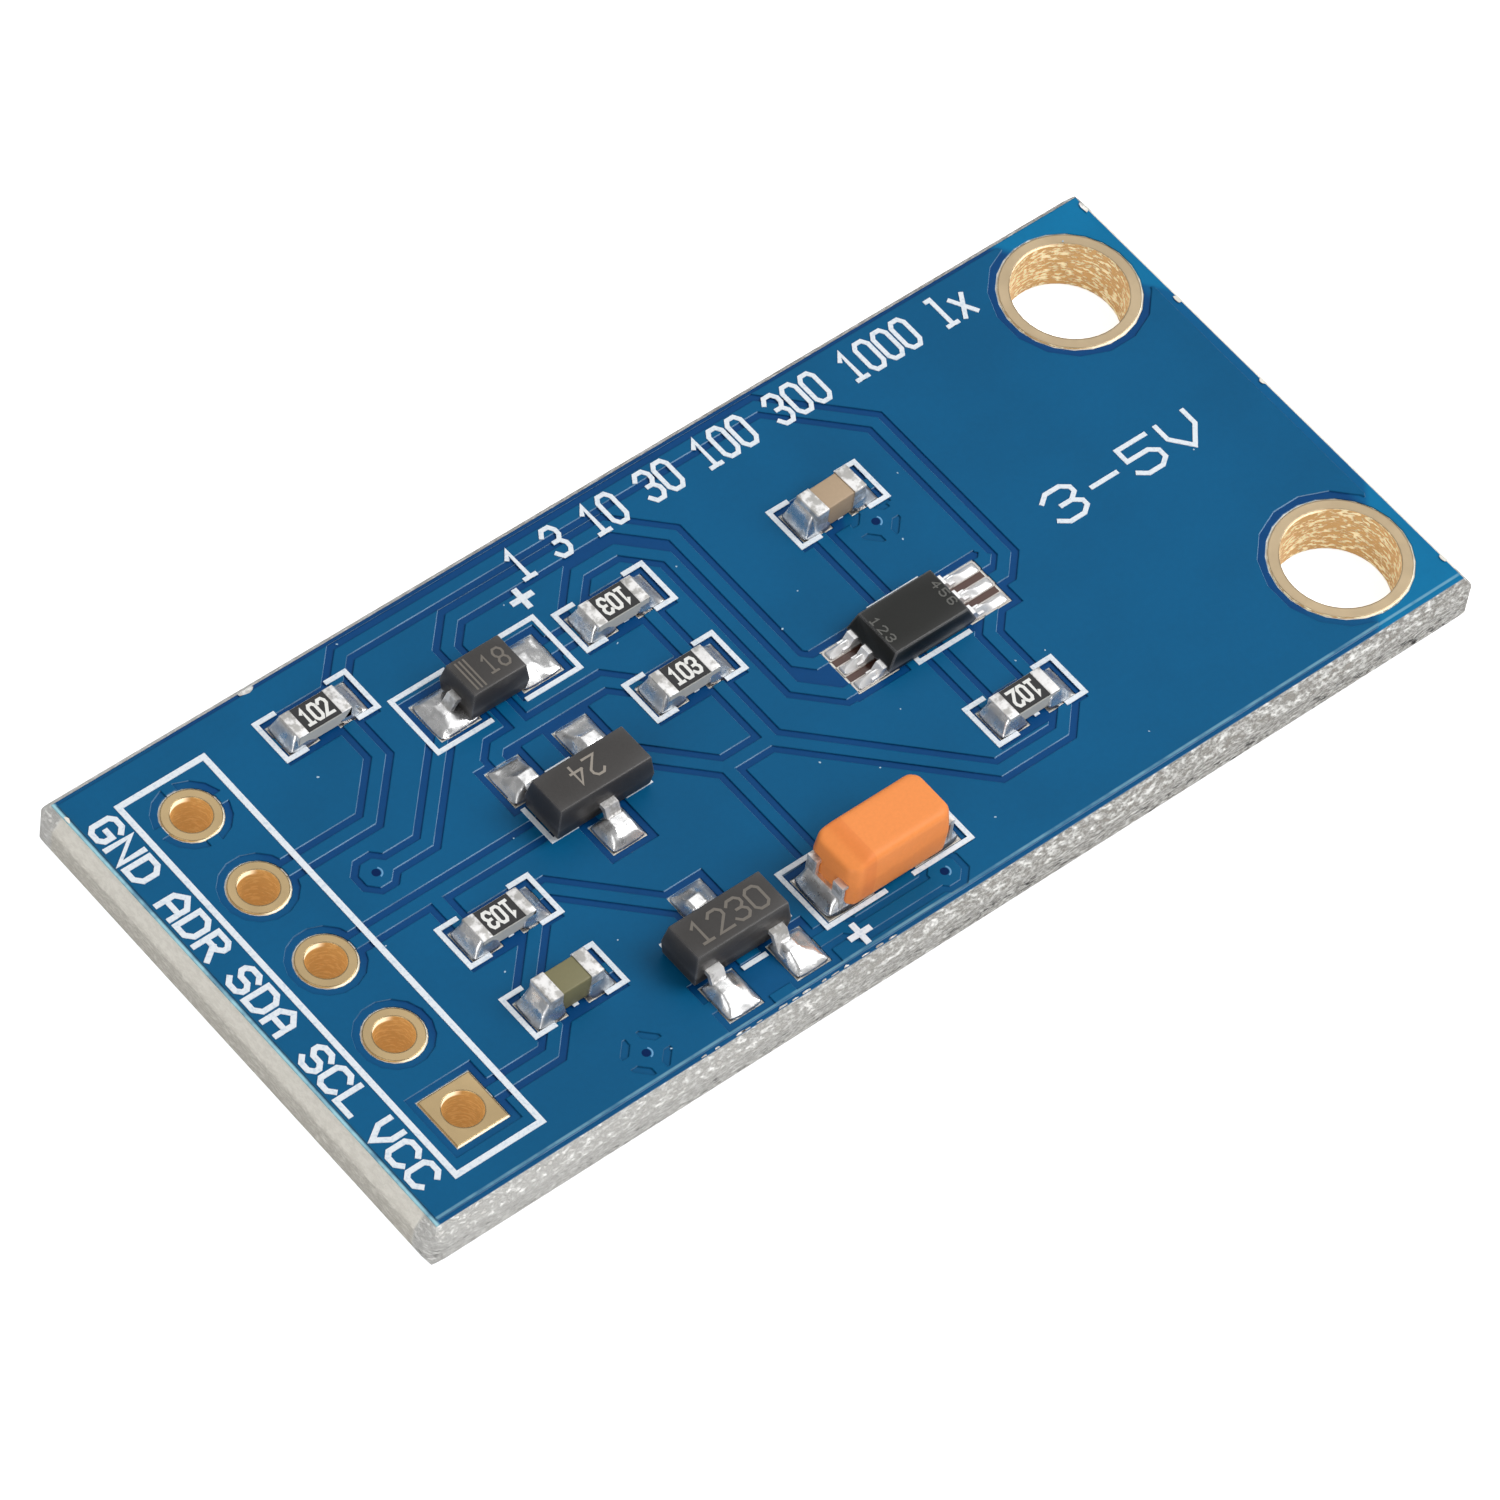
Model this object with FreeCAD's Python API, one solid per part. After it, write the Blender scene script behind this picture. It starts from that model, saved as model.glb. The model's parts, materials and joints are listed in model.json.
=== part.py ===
import FreeCAD, Part
import math
import os

# Light sensor module: a scored and snapped circuit board with etched copper under a solder mask,
# plated pin and mounting holes, and soldered surface-mount parts. Millimetres, +Z up.
# The origin is under the middle of the board, on the plane that the board lies on.
# Places are given as (u, v): u runs from the header end along the board, v across it from the middle.

# Board
BOARD_LENGTH = 31.69
PIN_PITCH = 2.54
PIN_ROW_MARGIN = 2.14
BOARD_WIDTH = 4 * PIN_PITCH + 2 * PIN_ROW_MARGIN
CORE_THICKNESS = 1.48
COPPER_THICKNESS = 0.035
MASK_THICKNESS = 0.025
SILK_THICKNESS = 0.02
SCORE_OUT = 0.29
SCORE_TOP_DEPTH = 0.36
SCORE_BOTTOM_DEPTH = 0.44
WEB_CORNER_RADIUS = 0.45

# Copper layout
TRACE_WIDTH = 0.254
CLEARANCE = 0.254
MASK_SIDE_COVER = 0.03
MASK_OPENING_GAP = 0.04
POUR_MARGIN = 0.14
POUR_END_MARGIN = 0.3
BARE_CORNER = (2.69, 3.32)
SMALLEST_POUR_ISLAND = 0.4

# Plated holes
HEADER_EDGE_DISTANCE = 2.474
PIN_HOLE_RADIUS = 0.51
PIN_PAD_RADIUS = 0.745
MOUNT_HOLE_RADIUS = 1.5
MOUNT_RING_RADIUS = 1.784
MOUNT_EDGE_DISTANCE = 2.07
MOUNT_SIDE_DISTANCE = 2.185
PLATING = 0.035
FLANGE_THICKNESS = 0.05
VIA_RADIUS = 0.16
VIA_PAD_RADIUS = 0.36
VIA_SIDES = 8
RING_SIDES = 16
OPENING_SIDES = 24

# Printed outlines
SILK_LINE = 0.13
SILK_SHIFT = (0.03, 0.08)
SILK_GAP = 0.24
HEADER_SILK_LINE = 0.16
HEADER_SILK_HALF = (1.255, 2 * PIN_PITCH + 1.24)
HEADER_SILK_SHIFT = (-0.01, -0.09)
CHIP_SILK_HALF = (1.34, 0.63)
CHIP_SILK_OPENING = 0.74
CENTRE_BAR = (0.15, 0.84)
PLUS_LINE = 0.16
PLUS_ARM = 0.33

# Chip resistors and capacitors
CHIP_LENGTH = 1.6
CHIP_WIDTH = 0.8
RESISTOR_HEIGHT = 0.45
RESISTOR_TERMINAL = 0.31
RESISTOR_TERMINAL_THICKNESS = 0.035
RESISTOR_COAT_THICKNESS = 0.03
CAPACITOR_HEIGHT = 0.8
CAPACITOR_CAP = 0.38
CAPACITOR_CAP_THICKNESS = 0.03
CHIP_SOLDER_CLIMB = 0.72
CHIP_SOLDER_HOLLOW = ((0.52, 0.14), (0.17, 0.5))
CHIP_PAD_LENGTH = 0.8
CHIP_PAD_WIDTH = 0.95
CHIP_PAD_SPREAD = 0.735

# Tantalum capacitor
TANTALUM_LENGTH = 3.2
TANTALUM_WIDTH = 1.6
TANTALUM_HEIGHT = 1.65
TANTALUM_DRAFT = 0.07
TANTALUM_CORNER = 0.2
TANTALUM_RIM = 0.1
TANTALUM_BEVEL = (0.62, 0.2)
TANTALUM_CLEARANCE = 0.02
TANTALUM_LEAD_WIDTH = 1.28
TANTALUM_LEAD_THICKNESS = 0.1
TANTALUM_LEAD_RISE = 0.88
TANTALUM_LEAD_FOOT = 0.75
TANTALUM_FORK_GAP = 0.6
TANTALUM_FORK_FLOOR = 0.4
TANTALUM_PAD = (1.34, 1.38)
TANTALUM_PAD_SPREAD = 1.33
TANTALUM_SILK_HALF = (2.205, 0.915)
TANTALUM_SILK_OPENING = 0.4

# Moulded packages: length, width, height of the case over the leads' underside
SOT_CASE = (2.9, 1.3, 1.1)
SOT_LEAD_WIDTH = 0.42
SOT_LEAD_THICKNESS = 0.13
SOT_LEAD_SPAN = 2.5
SOT_LEAD_SPREAD = 0.96
SOT_SHOULDER = 0.12
SOT_PAD_WIDTH = 0.96
SOT_PAIR_PAD_LENGTH = 1.12
SOT_PAIR_PAD_OFFSET = 1.37
SOT_LONE_PAD_LENGTH = 0.9
SOT_LONE_PAD_OFFSET = 1.14
SOT_PAD_SPREAD = 1.02
SOT_SILK_HALF = 1.46
SOT_SILK_DASH = (0.74, 1.04)
DIODE_CASE = (1.75, 1.28, 0.98)
DIODE_LEAD_WIDTH = 0.34
DIODE_LEAD_THICKNESS = 0.13
DIODE_LEAD_SPAN = 2.7
DIODE_SHOULDER = 0.08
DIODE_PAD = (1.15, 1.2)
DIODE_PAD_SPREAD = 1.25
DIODE_SILK_HALF = (2.145, 0.905)
DIODE_SILK_OPENING = 0.5
SENSOR_CASE = (2.75, 1.6, 0.74)
SENSOR_DRAFT = (0.25, 0.08)
SENSOR_LEAD_LEVEL = 0.26
SENSOR_LEAD_WIDTH = 0.28
SENSOR_LEAD_THICKNESS = 0.1
SENSOR_LEAD_SPAN = 3.5
SENSOR_SHOULDER = 0.05
SENSOR_LEAD_PITCH = 0.54
SENSOR_PAD = (1.2, 0.34)
SENSOR_PAD_SPREAD = 1.76
SENSOR_SILK = ((-0.67, 0.94), 0.96)
SENSOR_SILK_TICK = 0.22
CASE_DRAFT = (0.09, 0.09)
CASE_PARTING = 0.42
CASE_UNDERSIDE = 0.06
LEAD_INSIDE_CASE = 0.18

# Solder
SOLDER_FILM = 0.03
SOLDER_PILLOW = 0.14
SOLDER_MARGIN = 0.03

# Levels
Z_CORE = MASK_THICKNESS + COPPER_THICKNESS
Z_CORE_TOP = Z_CORE + CORE_THICKNESS
Z_COPPER_TOP = Z_CORE_TOP + COPPER_THICKNESS
Z_MASK_TOP = Z_COPPER_TOP + MASK_THICKNESS
Z_SEAT = Z_COPPER_TOP + SOLDER_FILM
HALF_WIDTH = BOARD_WIDTH / 2

UP = FreeCAD.Vector(0, 0, 1)


def far(distance):
    """v of a place measured in from the long edge on the +v side."""
    return HALF_WIDTH - distance


def near(distance):
    """v of a place measured in from the long edge on the -v side."""
    return -HALF_WIDTH + distance


def place(u, v, z=0.0):
    return FreeCAD.Vector(u - BOARD_LENGTH / 2, v, z)


# Footprint places, and how far each hand-placed part sits from its footprint's middle
RESISTORS = {
    "resistor_1": ((6.57, far(1.67)), (-0.13, -0.05), 0.0),
    "resistor_2": ((14.33, far(3.27)), (-0.11, -0.02), 0.0),
    "resistor_3": ((14.39, 1.37), (-0.1, -0.01), 0.0),
    "resistor_4": ((6.39, -1.56), (-0.07, 0.0), 0.0),
    "resistor_5": ((20.55, near(3.32)), (-0.09, 0.04), 0.0),
}
CAPACITORS = {
    "capacitor_1": ((6.39, near(3.255)), (-0.02, 0.0), 0.0),
    "capacitor_2": ((20.48, far(3.88)), (-0.08, -0.06), 2.0),
}
DIODE_AT = (10.39, far(3.28))
DIODE_SHIFT = (-0.11, 0.0)
TRANSISTOR_AT = (10.3, 0.05)
TRANSISTOR_SHIFT = (0.05, 0.04)
REGULATOR_AT = (10.51, near(2.34))
REGULATOR_SHIFT = (-0.2, -0.12)
TANTALUM_AT = (14.71, near(1.95))
TANTALUM_SHIFT = (0.01, -0.03)
SENSOR_AT = (19.9, -0.6)
SENSOR_SHIFT = (-0.2, -0.01)

PIN_NAMES = ("vcc", "scl", "sda", "adr", "gnd")
PIN_PLACES = {name: (HEADER_EDGE_DISTANCE, (k - 2) * PIN_PITCH) for k, name in enumerate(PIN_NAMES)}
MOUNT_U = BOARD_LENGTH - MOUNT_EDGE_DISTANCE
MOUNT_PLACES = {"left": (MOUNT_U, far(MOUNT_SIDE_DISTANCE)), "right": (MOUNT_U, near(MOUNT_SIDE_DISTANCE))}
VIA_DIODE = (4.95, 1.27)
VIA_GROUND_CORNER = (6.86, near(0.87))
VIA_SUPPLY = (15.8, near(0.74))
VIA_GROUND_SENSOR = (21.12, far(4.86))
VIA_PLACES = (VIA_DIODE, VIA_GROUND_CORNER, VIA_SUPPLY, VIA_GROUND_SENSOR)
PLUS_PLACES = ((12.715, far(1.72)), (13.04, near(0.54)))


def pin_row(k):
    """v of the sensor's k-th lead row, counted up from the middle one."""
    return SENSOR_AT[1] + k * SENSOR_LEAD_PITCH


# Copper routes as centre lines, each from pad to pad
TRACES = (
    (PIN_PLACES["adr"], (5.76, PIN_PITCH), (7.09, far(3.35)), (7.09, far(1.7))),
    ((7.3, far(1.38)), (8.217, far(0.463)), (20.99, far(0.463)), (23.05, far(2.52)), (23.05, -0.17),
     (22.62, pin_row(0)), (21.8, pin_row(0))),
    (VIA_DIODE, (6.46, 1.27), (8.75, far(3.66))),
    (PIN_PLACES["sda"], (10.3, 0.0), (10.3, -1.0)),
    ((5.62, 0.0), (5.62, -1.4)),
    ((9.28, 1.4), (9.28, 2.23), (9.53, 2.48), (12.75, 2.48), (13.65, 1.58), (13.65, 1.4)),
    ((10.36, 2.48), (10.36, far(1.82)), (11.01, far(1.17)), (15.7, far(1.17)), (16.86, far(2.33)),
     (16.86, 0.28), (17.2, pin_row(1)), (18.0, pin_row(1))),
    ((13.55, far(3.27)), (13.55, far(2.61)), (14.29, far(1.87)), (15.46, far(1.87)), (16.35, far(2.76)),
     (16.35, -0.28), (17.21, pin_row(-1)), (18.0, pin_row(-1))),
    ((14.94, far(3.27)), (14.94, -1.19), (18.765, near(2.205)), (20.735, near(2.205)),
     (21.285, near(2.755)), (21.285, near(3.32))),
    ((14.94, -1.14), (13.54, -1.14), (13.54, near(2.5))),
    ((13.54, -1.17), (11.32, 1.05), (11.32, 1.3)),
    ((7.2, -1.4), (7.92, -1.4), (10.22, near(3.52)), (10.4, near(3.52))),
    (PIN_PLACES["vcc"], (5.1, -2 * PIN_PITCH), (5.65, near(2.69)), (5.65, near(3.25))),
    ((5.65, near(3.4)), (5.65, near(3.76)), (7.25, -1.86), (7.25, -1.6)),
    ((11.53, near(0.95)), (12.8, near(0.95)), (13.12, near(0.63)), (15.6, near(0.63)), VIA_SUPPLY),
    ((21.195, near(3.6)), (21.195, -1.79), (21.84, pin_row(-1)), (22.0, pin_row(-1))),
    ((19.74, far(3.88)), (19.74, near(3.32))),
    ((11.8, far(3.24)), (13.4, far(3.24))),
    ((21.8, pin_row(1)), (22.5, pin_row(1)), (22.66, pin_row(1) + 0.16)),
)


def polygon(points):
    """Flat face through (x, y) points at z = 0, facing up."""
    vectors = [FreeCAD.Vector(x, y, 0) for x, y in points]
    face = Part.Face(Part.makePolygon(vectors + vectors[:1]))
    if face.normalAt(0, 0).z < 0:
        face = Part.Face(Part.makePolygon(vectors[::-1] + vectors[-1:]))
    return face


def strip_outline(points, width):
    """Outline points of a band of one width along a centre line, with mitred corners."""
    sides = ([], [])
    for k, (x, y) in enumerate(points):
        headings = []
        if k > 0:
            headings.append(math.atan2(y - points[k - 1][1], x - points[k - 1][0]))
        if k < len(points) - 1:
            headings.append(math.atan2(points[k + 1][1] - y, points[k + 1][0] - x))
        turn = math.remainder(headings[-1] - headings[0], 2 * math.pi)
        across = headings[0] + turn / 2 + math.pi / 2
        reach = width / 2 / math.cos(turn / 2)
        for side, sign in zip(sides, (1, -1)):
            side.append((x + sign * reach * math.cos(across), y + sign * reach * math.sin(across)))
    return sides[0] + sides[1][::-1]


def band(points, width):
    """Flat band along (u, v) points."""
    placed = [(place(u, v).x, place(u, v).y) for u, v in points]
    return polygon(strip_outline(placed, width))


def disc(at, radius):
    edge = Part.makeCircle(radius, place(*at), UP)
    return Part.Face(Part.Wire([edge]))


def many_sided(at, radius, sides):
    """Regular outline round a hole, with a flat side to the right. It has far fewer edges than an arc."""
    turn = math.pi / sides
    reach = radius / math.cos(turn)
    centre = place(*at)
    angles = [(2 * k + 1) * turn for k in range(sides)]
    return polygon([(centre.x + reach * math.cos(a), centre.y + reach * math.sin(a)) for a in angles])


def rectangle(at, length, width):
    u, v = at
    corners = ((-1, -1), (1, -1), (1, 1), (-1, 1))
    return polygon([(place(u, v).x + sx * length / 2, v + sy * width / 2) for sx, sy in corners])


def merged(faces):
    """One flat shape from overlapping faces, without seams."""
    if len(faces) > 1:
        faces = faces[0].multiFuse(faces[1:]).Faces
    return Part.makeShell(faces).removeSplitter()


def raised(flat, z_low, z_high):
    """Solids standing on every face of a flat shape."""
    solids = []
    for face in flat.Faces:
        lifted = face.translated(FreeCAD.Vector(0, 0, z_low))
        solids.append(lifted.extrude(FreeCAD.Vector(0, 0, z_high - z_low)))
    return solids


def pads_of(at, pads):
    """Pads of a footprint, given as (du, dv, length, width) from its middle."""
    return [((at[0] + du, at[1] + dv), length, width) for du, dv, length, width in pads]


def surface_pads():
    """Every soldered pad: (middle, length, width)."""
    chip = [(side * CHIP_PAD_SPREAD, 0, CHIP_PAD_LENGTH, CHIP_PAD_WIDTH) for side in (-1, 1)]
    pads = {name: pads_of(spec[0], chip) for name, spec in {**RESISTORS, **CAPACITORS}.items()}
    pads["diode"] = pads_of(DIODE_AT, [(s * DIODE_PAD_SPREAD, 0, *DIODE_PAD) for s in (-1, 1)])
    pads["tantalum"] = pads_of(TANTALUM_AT, [(s * TANTALUM_PAD_SPREAD, 0, *TANTALUM_PAD) for s in (-1, 1)])
    for name, at, turn in (("regulator", REGULATOR_AT, 1), ("transistor", TRANSISTOR_AT, -1)):
        pair = [(s * SOT_PAD_SPREAD, -turn * SOT_PAIR_PAD_OFFSET, SOT_PAD_WIDTH, SOT_PAIR_PAD_LENGTH)
                for s in (-1, 1)]
        lone = [(0, turn * SOT_LONE_PAD_OFFSET, SOT_PAD_WIDTH, SOT_LONE_PAD_LENGTH)]
        pads[name] = pads_of(at, pair + lone)
    pads["sensor"] = pads_of(SENSOR_AT, [(s * SENSOR_PAD_SPREAD, row * SENSOR_LEAD_PITCH, *SENSOR_PAD)
                                         for s in (-1, 1) for row in (-1, 0, 1)])
    return pads


PADS = surface_pads()


def ground_spokes():
    """Short links from the grounded pads and holes to the copper around them."""
    reach = CLEARANCE + TRACE_WIDTH / 2
    spokes = []
    rounds = [(PIN_PLACES["gnd"], PIN_PAD_RADIUS), (VIA_GROUND_CORNER, VIA_PAD_RADIUS),
              (VIA_GROUND_SENSOR, VIA_PAD_RADIUS)]
    for (u, v), radius in rounds:
        for du, dv in ((1, 0), (0, 1)):
            length = radius + reach
            spokes.append(((u - du * length, v - dv * length), (u + du * length, v + dv * length)))
    grounded = ((-1, PADS["resistor_1"][0]), (-1, PADS["regulator"][0]), (1, PADS["capacitor_1"][1]),
                (1, PADS["capacitor_2"][1]), (1, PADS["tantalum"][1]))
    for side, ((u, v), length, _) in grounded:
        spokes.append(((u, v), (u + side * (length / 2 + reach), v)))
    return spokes


def soldered_pads(grow):
    """Every soldered pad, grown by one distance."""
    return [rectangle(at, length + 2 * grow, width + 2 * grow)
            for pads in PADS.values() for at, length, width in pads]


def copper_features(grow, routes):
    """Soldered pads, vias and routes of the top side, each grown by one distance."""
    faces = soldered_pads(grow)
    faces += [many_sided(at, VIA_PAD_RADIUS + grow, VIA_SIDES) for at in VIA_PLACES]
    faces += [band(points, TRACE_WIDTH + 2 * grow) for points in routes]
    return merged(faces)


def hole_outlines(grow, sides):
    """Outlines round the pads of the plated holes, each grown by one distance. The first pin's is square."""
    square = 2 * (PIN_PAD_RADIUS + grow)
    rings = [(at, PIN_PAD_RADIUS) for name, at in PIN_PLACES.items() if name != "vcc"]
    rings += [(at, MOUNT_RING_RADIUS) for at in MOUNT_PLACES.values()]
    faces = [many_sided(at, radius + grow, sides) for at, radius in rings]
    return faces + [rectangle(PIN_PLACES["vcc"], square, square)]


def pour_outline(grow):
    """The ground copper's outline, which leaves the board's corners beside the mounting holes bare."""
    low = POUR_MARGIN - grow
    end = POUR_END_MARGIN - grow
    corner, side = BARE_CORNER
    outline = [(low, near(low)), (BOARD_LENGTH - corner, near(low)), (BOARD_LENGTH - end, near(side)),
               (BOARD_LENGTH - end, far(side)), (BOARD_LENGTH - corner, far(low)), (low, far(low))]
    return polygon([(place(u, v).x, v) for u, v in outline])


def board_face():
    return rectangle((BOARD_LENGTH / 2, 0), BOARD_LENGTH, BOARD_WIDTH)


def pour_gaps(grow):
    """Places between close pads that the ground copper doesn't reach, shrunk by one distance."""
    gaps = [rectangle(spec[0], 2 * CHIP_PAD_SPREAD, CHIP_PAD_WIDTH + 2 * CLEARANCE - 2 * grow)
            for spec in [*RESISTORS.values(), *CAPACITORS.values()]]
    u, v = REGULATOR_AT
    gaps.append(rectangle((u, v - SOT_PAIR_PAD_OFFSET), 2 * SOT_PAD_SPREAD, SOT_PAIR_PAD_LENGTH - 2 * grow))
    return gaps


def poured(grow):
    """Ground copper between the traces, grown by one distance and without its small islands."""
    clear = CLEARANCE - grow
    cutters = [copper_features(clear, TRACES)] + hole_outlines(clear, RING_SIDES) + pour_gaps(grow)
    flat = pour_outline(grow).cut(cutters)
    return [face for face in flat.Faces if face.Area > SMALLEST_POUR_ISLAND]


def copper_top_face():
    features = copper_features(0, [*TRACES, *ground_spokes()])
    return merged(poured(0) + [features]).cut(hole_outlines(0, RING_SIDES))


def groove_face():
    """Where the mask lies low, over bare laminate."""
    features = copper_features(MASK_SIDE_COVER, [*TRACES, *ground_spokes()])
    return board_face().cut(poured(MASK_SIDE_COVER) + [features])


def mask_openings():
    """Where the top mask leaves pads and holes bare. The sensor's close pads share one opening a side."""
    gap = MASK_OPENING_GAP
    u, v = SENSOR_AT
    length, width = SENSOR_PAD
    row = 2 * SENSOR_LEAD_PITCH + width + 2 * gap
    shared = [rectangle((u + s * SENSOR_PAD_SPREAD, v), length + 2 * gap, row) for s in (-1, 1)]
    return soldered_pads(gap) + shared + hole_outlines(gap, OPENING_SIDES)


def bottom_copper_face():
    """The ground plane, cleared round every hole but the grounded pin and vias."""
    plane = pour_outline(0).cut(hole_outlines(CLEARANCE, RING_SIDES))
    reach = PIN_PAD_RADIUS + CLEARANCE + TRACE_WIDTH / 2
    u, v = PIN_PLACES["gnd"]
    spokes = [band(((u - du * reach, v - dv * reach), (u + du * reach, v + dv * reach)), TRACE_WIDTH)
              for du, dv in ((1, 0), (0, 1))]
    return merged([plane] + spokes).cut(hole_outlines(0, RING_SIDES))


def board_core():
    """Laminate with the bevels of a scored edge above and below a rough snapped web."""
    z_low = Z_CORE + SCORE_BOTTOM_DEPTH
    z_high = Z_CORE_TOP - SCORE_TOP_DEPTH
    levels = ((Z_CORE, 0), (z_low, SCORE_OUT), (z_high, SCORE_OUT), (Z_CORE_TOP, 0))
    wires = []
    for z, out in levels:
        outline = rectangle((BOARD_LENGTH / 2, 0), BOARD_LENGTH + 2 * out, BOARD_WIDTH + 2 * out)
        wires.append(outline.translated(FreeCAD.Vector(0, 0, z)).OuterWire)
    core = Part.makeLoft(wires, True, True)
    web = Part.makeBox(BOARD_LENGTH + 2 * SCORE_OUT, BOARD_WIDTH + 2 * SCORE_OUT, CORE_THICKNESS,
                       FreeCAD.Vector(-BOARD_LENGTH / 2 - SCORE_OUT, -HALF_WIDTH - SCORE_OUT, Z_CORE))
    upright = [edge for edge in web.Edges if edge.BoundBox.ZLength > CORE_THICKNESS / 2]
    core = core.common(web.makeFillet(WEB_CORNER_RADIUS, upright))
    radii = [(at, PIN_HOLE_RADIUS) for at in PIN_PLACES.values()]
    radii += [(at, MOUNT_HOLE_RADIUS) for at in MOUNT_PLACES.values()]
    holes = [many_sided(at, radius + PLATING, RING_SIDES) for at, radius in radii]
    return core.cut([raised(hole, Z_CORE, Z_CORE_TOP)[0] for hole in holes] + filled_vias())


def plated_hole(at, hole_radius, pad_radius, square=False):
    """A plated barrel, held by a pad on each face of the board."""
    z_low = Z_CORE - FLANGE_THICKNESS
    z_high = Z_CORE_TOP + FLANGE_THICKNESS
    barrel = Part.makeCylinder(hole_radius + PLATING, CORE_THICKNESS, place(*at, Z_CORE))
    solids = []
    for z in (z_low, Z_CORE_TOP):
        if square:
            pad = rectangle(at, 2 * pad_radius, 2 * pad_radius)
        else:
            pad = disc(at, pad_radius)
        solids += raised(pad, z, z + FLANGE_THICKNESS)
    body = barrel.fuse(solids).removeSplitter()
    return body.cut(Part.makeCylinder(hole_radius, z_high - z_low, place(*at, z_low)))


def filled_vias():
    """Small filled holes that join the two copper layers under the mask."""
    vias = [many_sided(at, VIA_RADIUS, VIA_SIDES) for at in VIA_PLACES]
    return [raised(via, Z_CORE, Z_CORE_TOP)[0] for via in vias]


def top_mask():
    """Solder mask that steps down into every channel between coppers."""
    sheet = raised(board_face().cut(mask_openings()), Z_CORE_TOP, Z_MASK_TOP)[0]
    low = raised(groove_face(), Z_CORE_TOP + MASK_THICKNESS, Z_MASK_TOP)
    return sheet.cut(raised(copper_top_face(), Z_CORE_TOP, Z_COPPER_TOP) + low)


def bottom_mask():
    openings = hole_outlines(MASK_OPENING_GAP, OPENING_SIDES)
    sheet = raised(board_face().cut(openings), 0, Z_CORE)[0]
    return sheet.cut(raised(bottom_copper_face(), MASK_THICKNESS, Z_CORE))


def printed_at(at):
    """Where the print for a footprint lands: the whole print sits a little off the copper."""
    return at[0] + SILK_SHIFT[0], at[1] + SILK_SHIFT[1]


def bracket_lines(at, half, opening):
    """Two square brackets that face each other, open in the middle of the long sides."""
    u, v = printed_at(at)
    return [[(u + s * opening, v + half[1]), (u + s * half[0], v + half[1]),
             (u + s * half[0], v - half[1]), (u + s * opening, v - half[1])] for s in (-1, 1)]


def sot_silk_lines(at, turn):
    """Outline of a three-lead footprint: two sides with corners, and a dash between the paired pads."""
    u, v = printed_at(at)
    half = SOT_SILK_HALF
    pair = SOT_PAIR_PAD_OFFSET - SOT_PAIR_PAD_LENGTH / 2 - SILK_GAP
    lone = SOT_LONE_PAD_OFFSET - SOT_LONE_PAD_LENGTH / 2 - SILK_LINE
    corner = SOT_PAD_WIDTH / 2 + SILK_GAP
    sides = [[(u + s * half, v - turn * pair), (u + s * half, v + turn * lone),
              (u + s * corner, v + turn * lone)] for s in (-1, 1)]
    length, dash = SOT_SILK_DASH
    return sides + [[(u - length / 2, v - turn * dash), (u + length / 2, v - turn * dash)]]


def sensor_silk_lines():
    """A line along each long side of the sensor, one with a tick at its first lead."""
    u, v = printed_at(SENSOR_AT)
    (start, end), out = SENSOR_SILK
    ticked = [(u + start, v - out + SENSOR_SILK_TICK), (u + start, v - out), (u + end, v - out)]
    return [ticked, [(u + start, v + out), (u + end, v + out)]]


def silkscreen():
    """Printed outlines round the parts, with a polarity cross at the diode and the tantalum capacitor."""
    lines = []
    for at, _, _ in [*RESISTORS.values(), *CAPACITORS.values()]:
        lines += bracket_lines(at, CHIP_SILK_HALF, CHIP_SILK_OPENING)
    lines += bracket_lines(DIODE_AT, DIODE_SILK_HALF, DIODE_SILK_OPENING)
    lines += bracket_lines(TANTALUM_AT, TANTALUM_SILK_HALF, TANTALUM_SILK_OPENING)
    lines += sot_silk_lines(REGULATOR_AT, 1) + sot_silk_lines(TRANSISTOR_AT, -1)
    lines += sensor_silk_lines()
    faces = [band(points, SILK_LINE) for points in lines]
    faces += [rectangle(at, *CENTRE_BAR) for at, _, _ in [*RESISTORS.values(), *CAPACITORS.values()]]
    for at in PLUS_PLACES:
        arms = [rectangle(at, 2 * PLUS_ARM, PLUS_LINE), rectangle(at, PLUS_LINE, 2 * PLUS_ARM)]
        faces.append(merged(arms))
    faces.append(header_box())
    solids = []
    for face in faces:
        solids += raised(face, Z_MASK_TOP, Z_MASK_TOP + SILK_THICKNESS)
    return solids


def header_box():
    """Printed frame round the row of pin holes."""
    at = (HEADER_EDGE_DISTANCE + HEADER_SILK_SHIFT[0], HEADER_SILK_SHIFT[1])
    half_u, half_v = HEADER_SILK_HALF
    line = HEADER_SILK_LINE
    outer = rectangle(at, 2 * half_u + line, 2 * half_v + line)
    return outer.cut(rectangle(at, 2 * half_u - line, 2 * half_v - line))


def box(length, width, z_low, z_high, x=0.0, y=0.0):
    """Block centred on (x, y) between two levels."""
    corner = FreeCAD.Vector(x - length / 2, y - width / 2, z_low)
    return Part.makeBox(length, width, z_high - z_low, corner)


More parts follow.
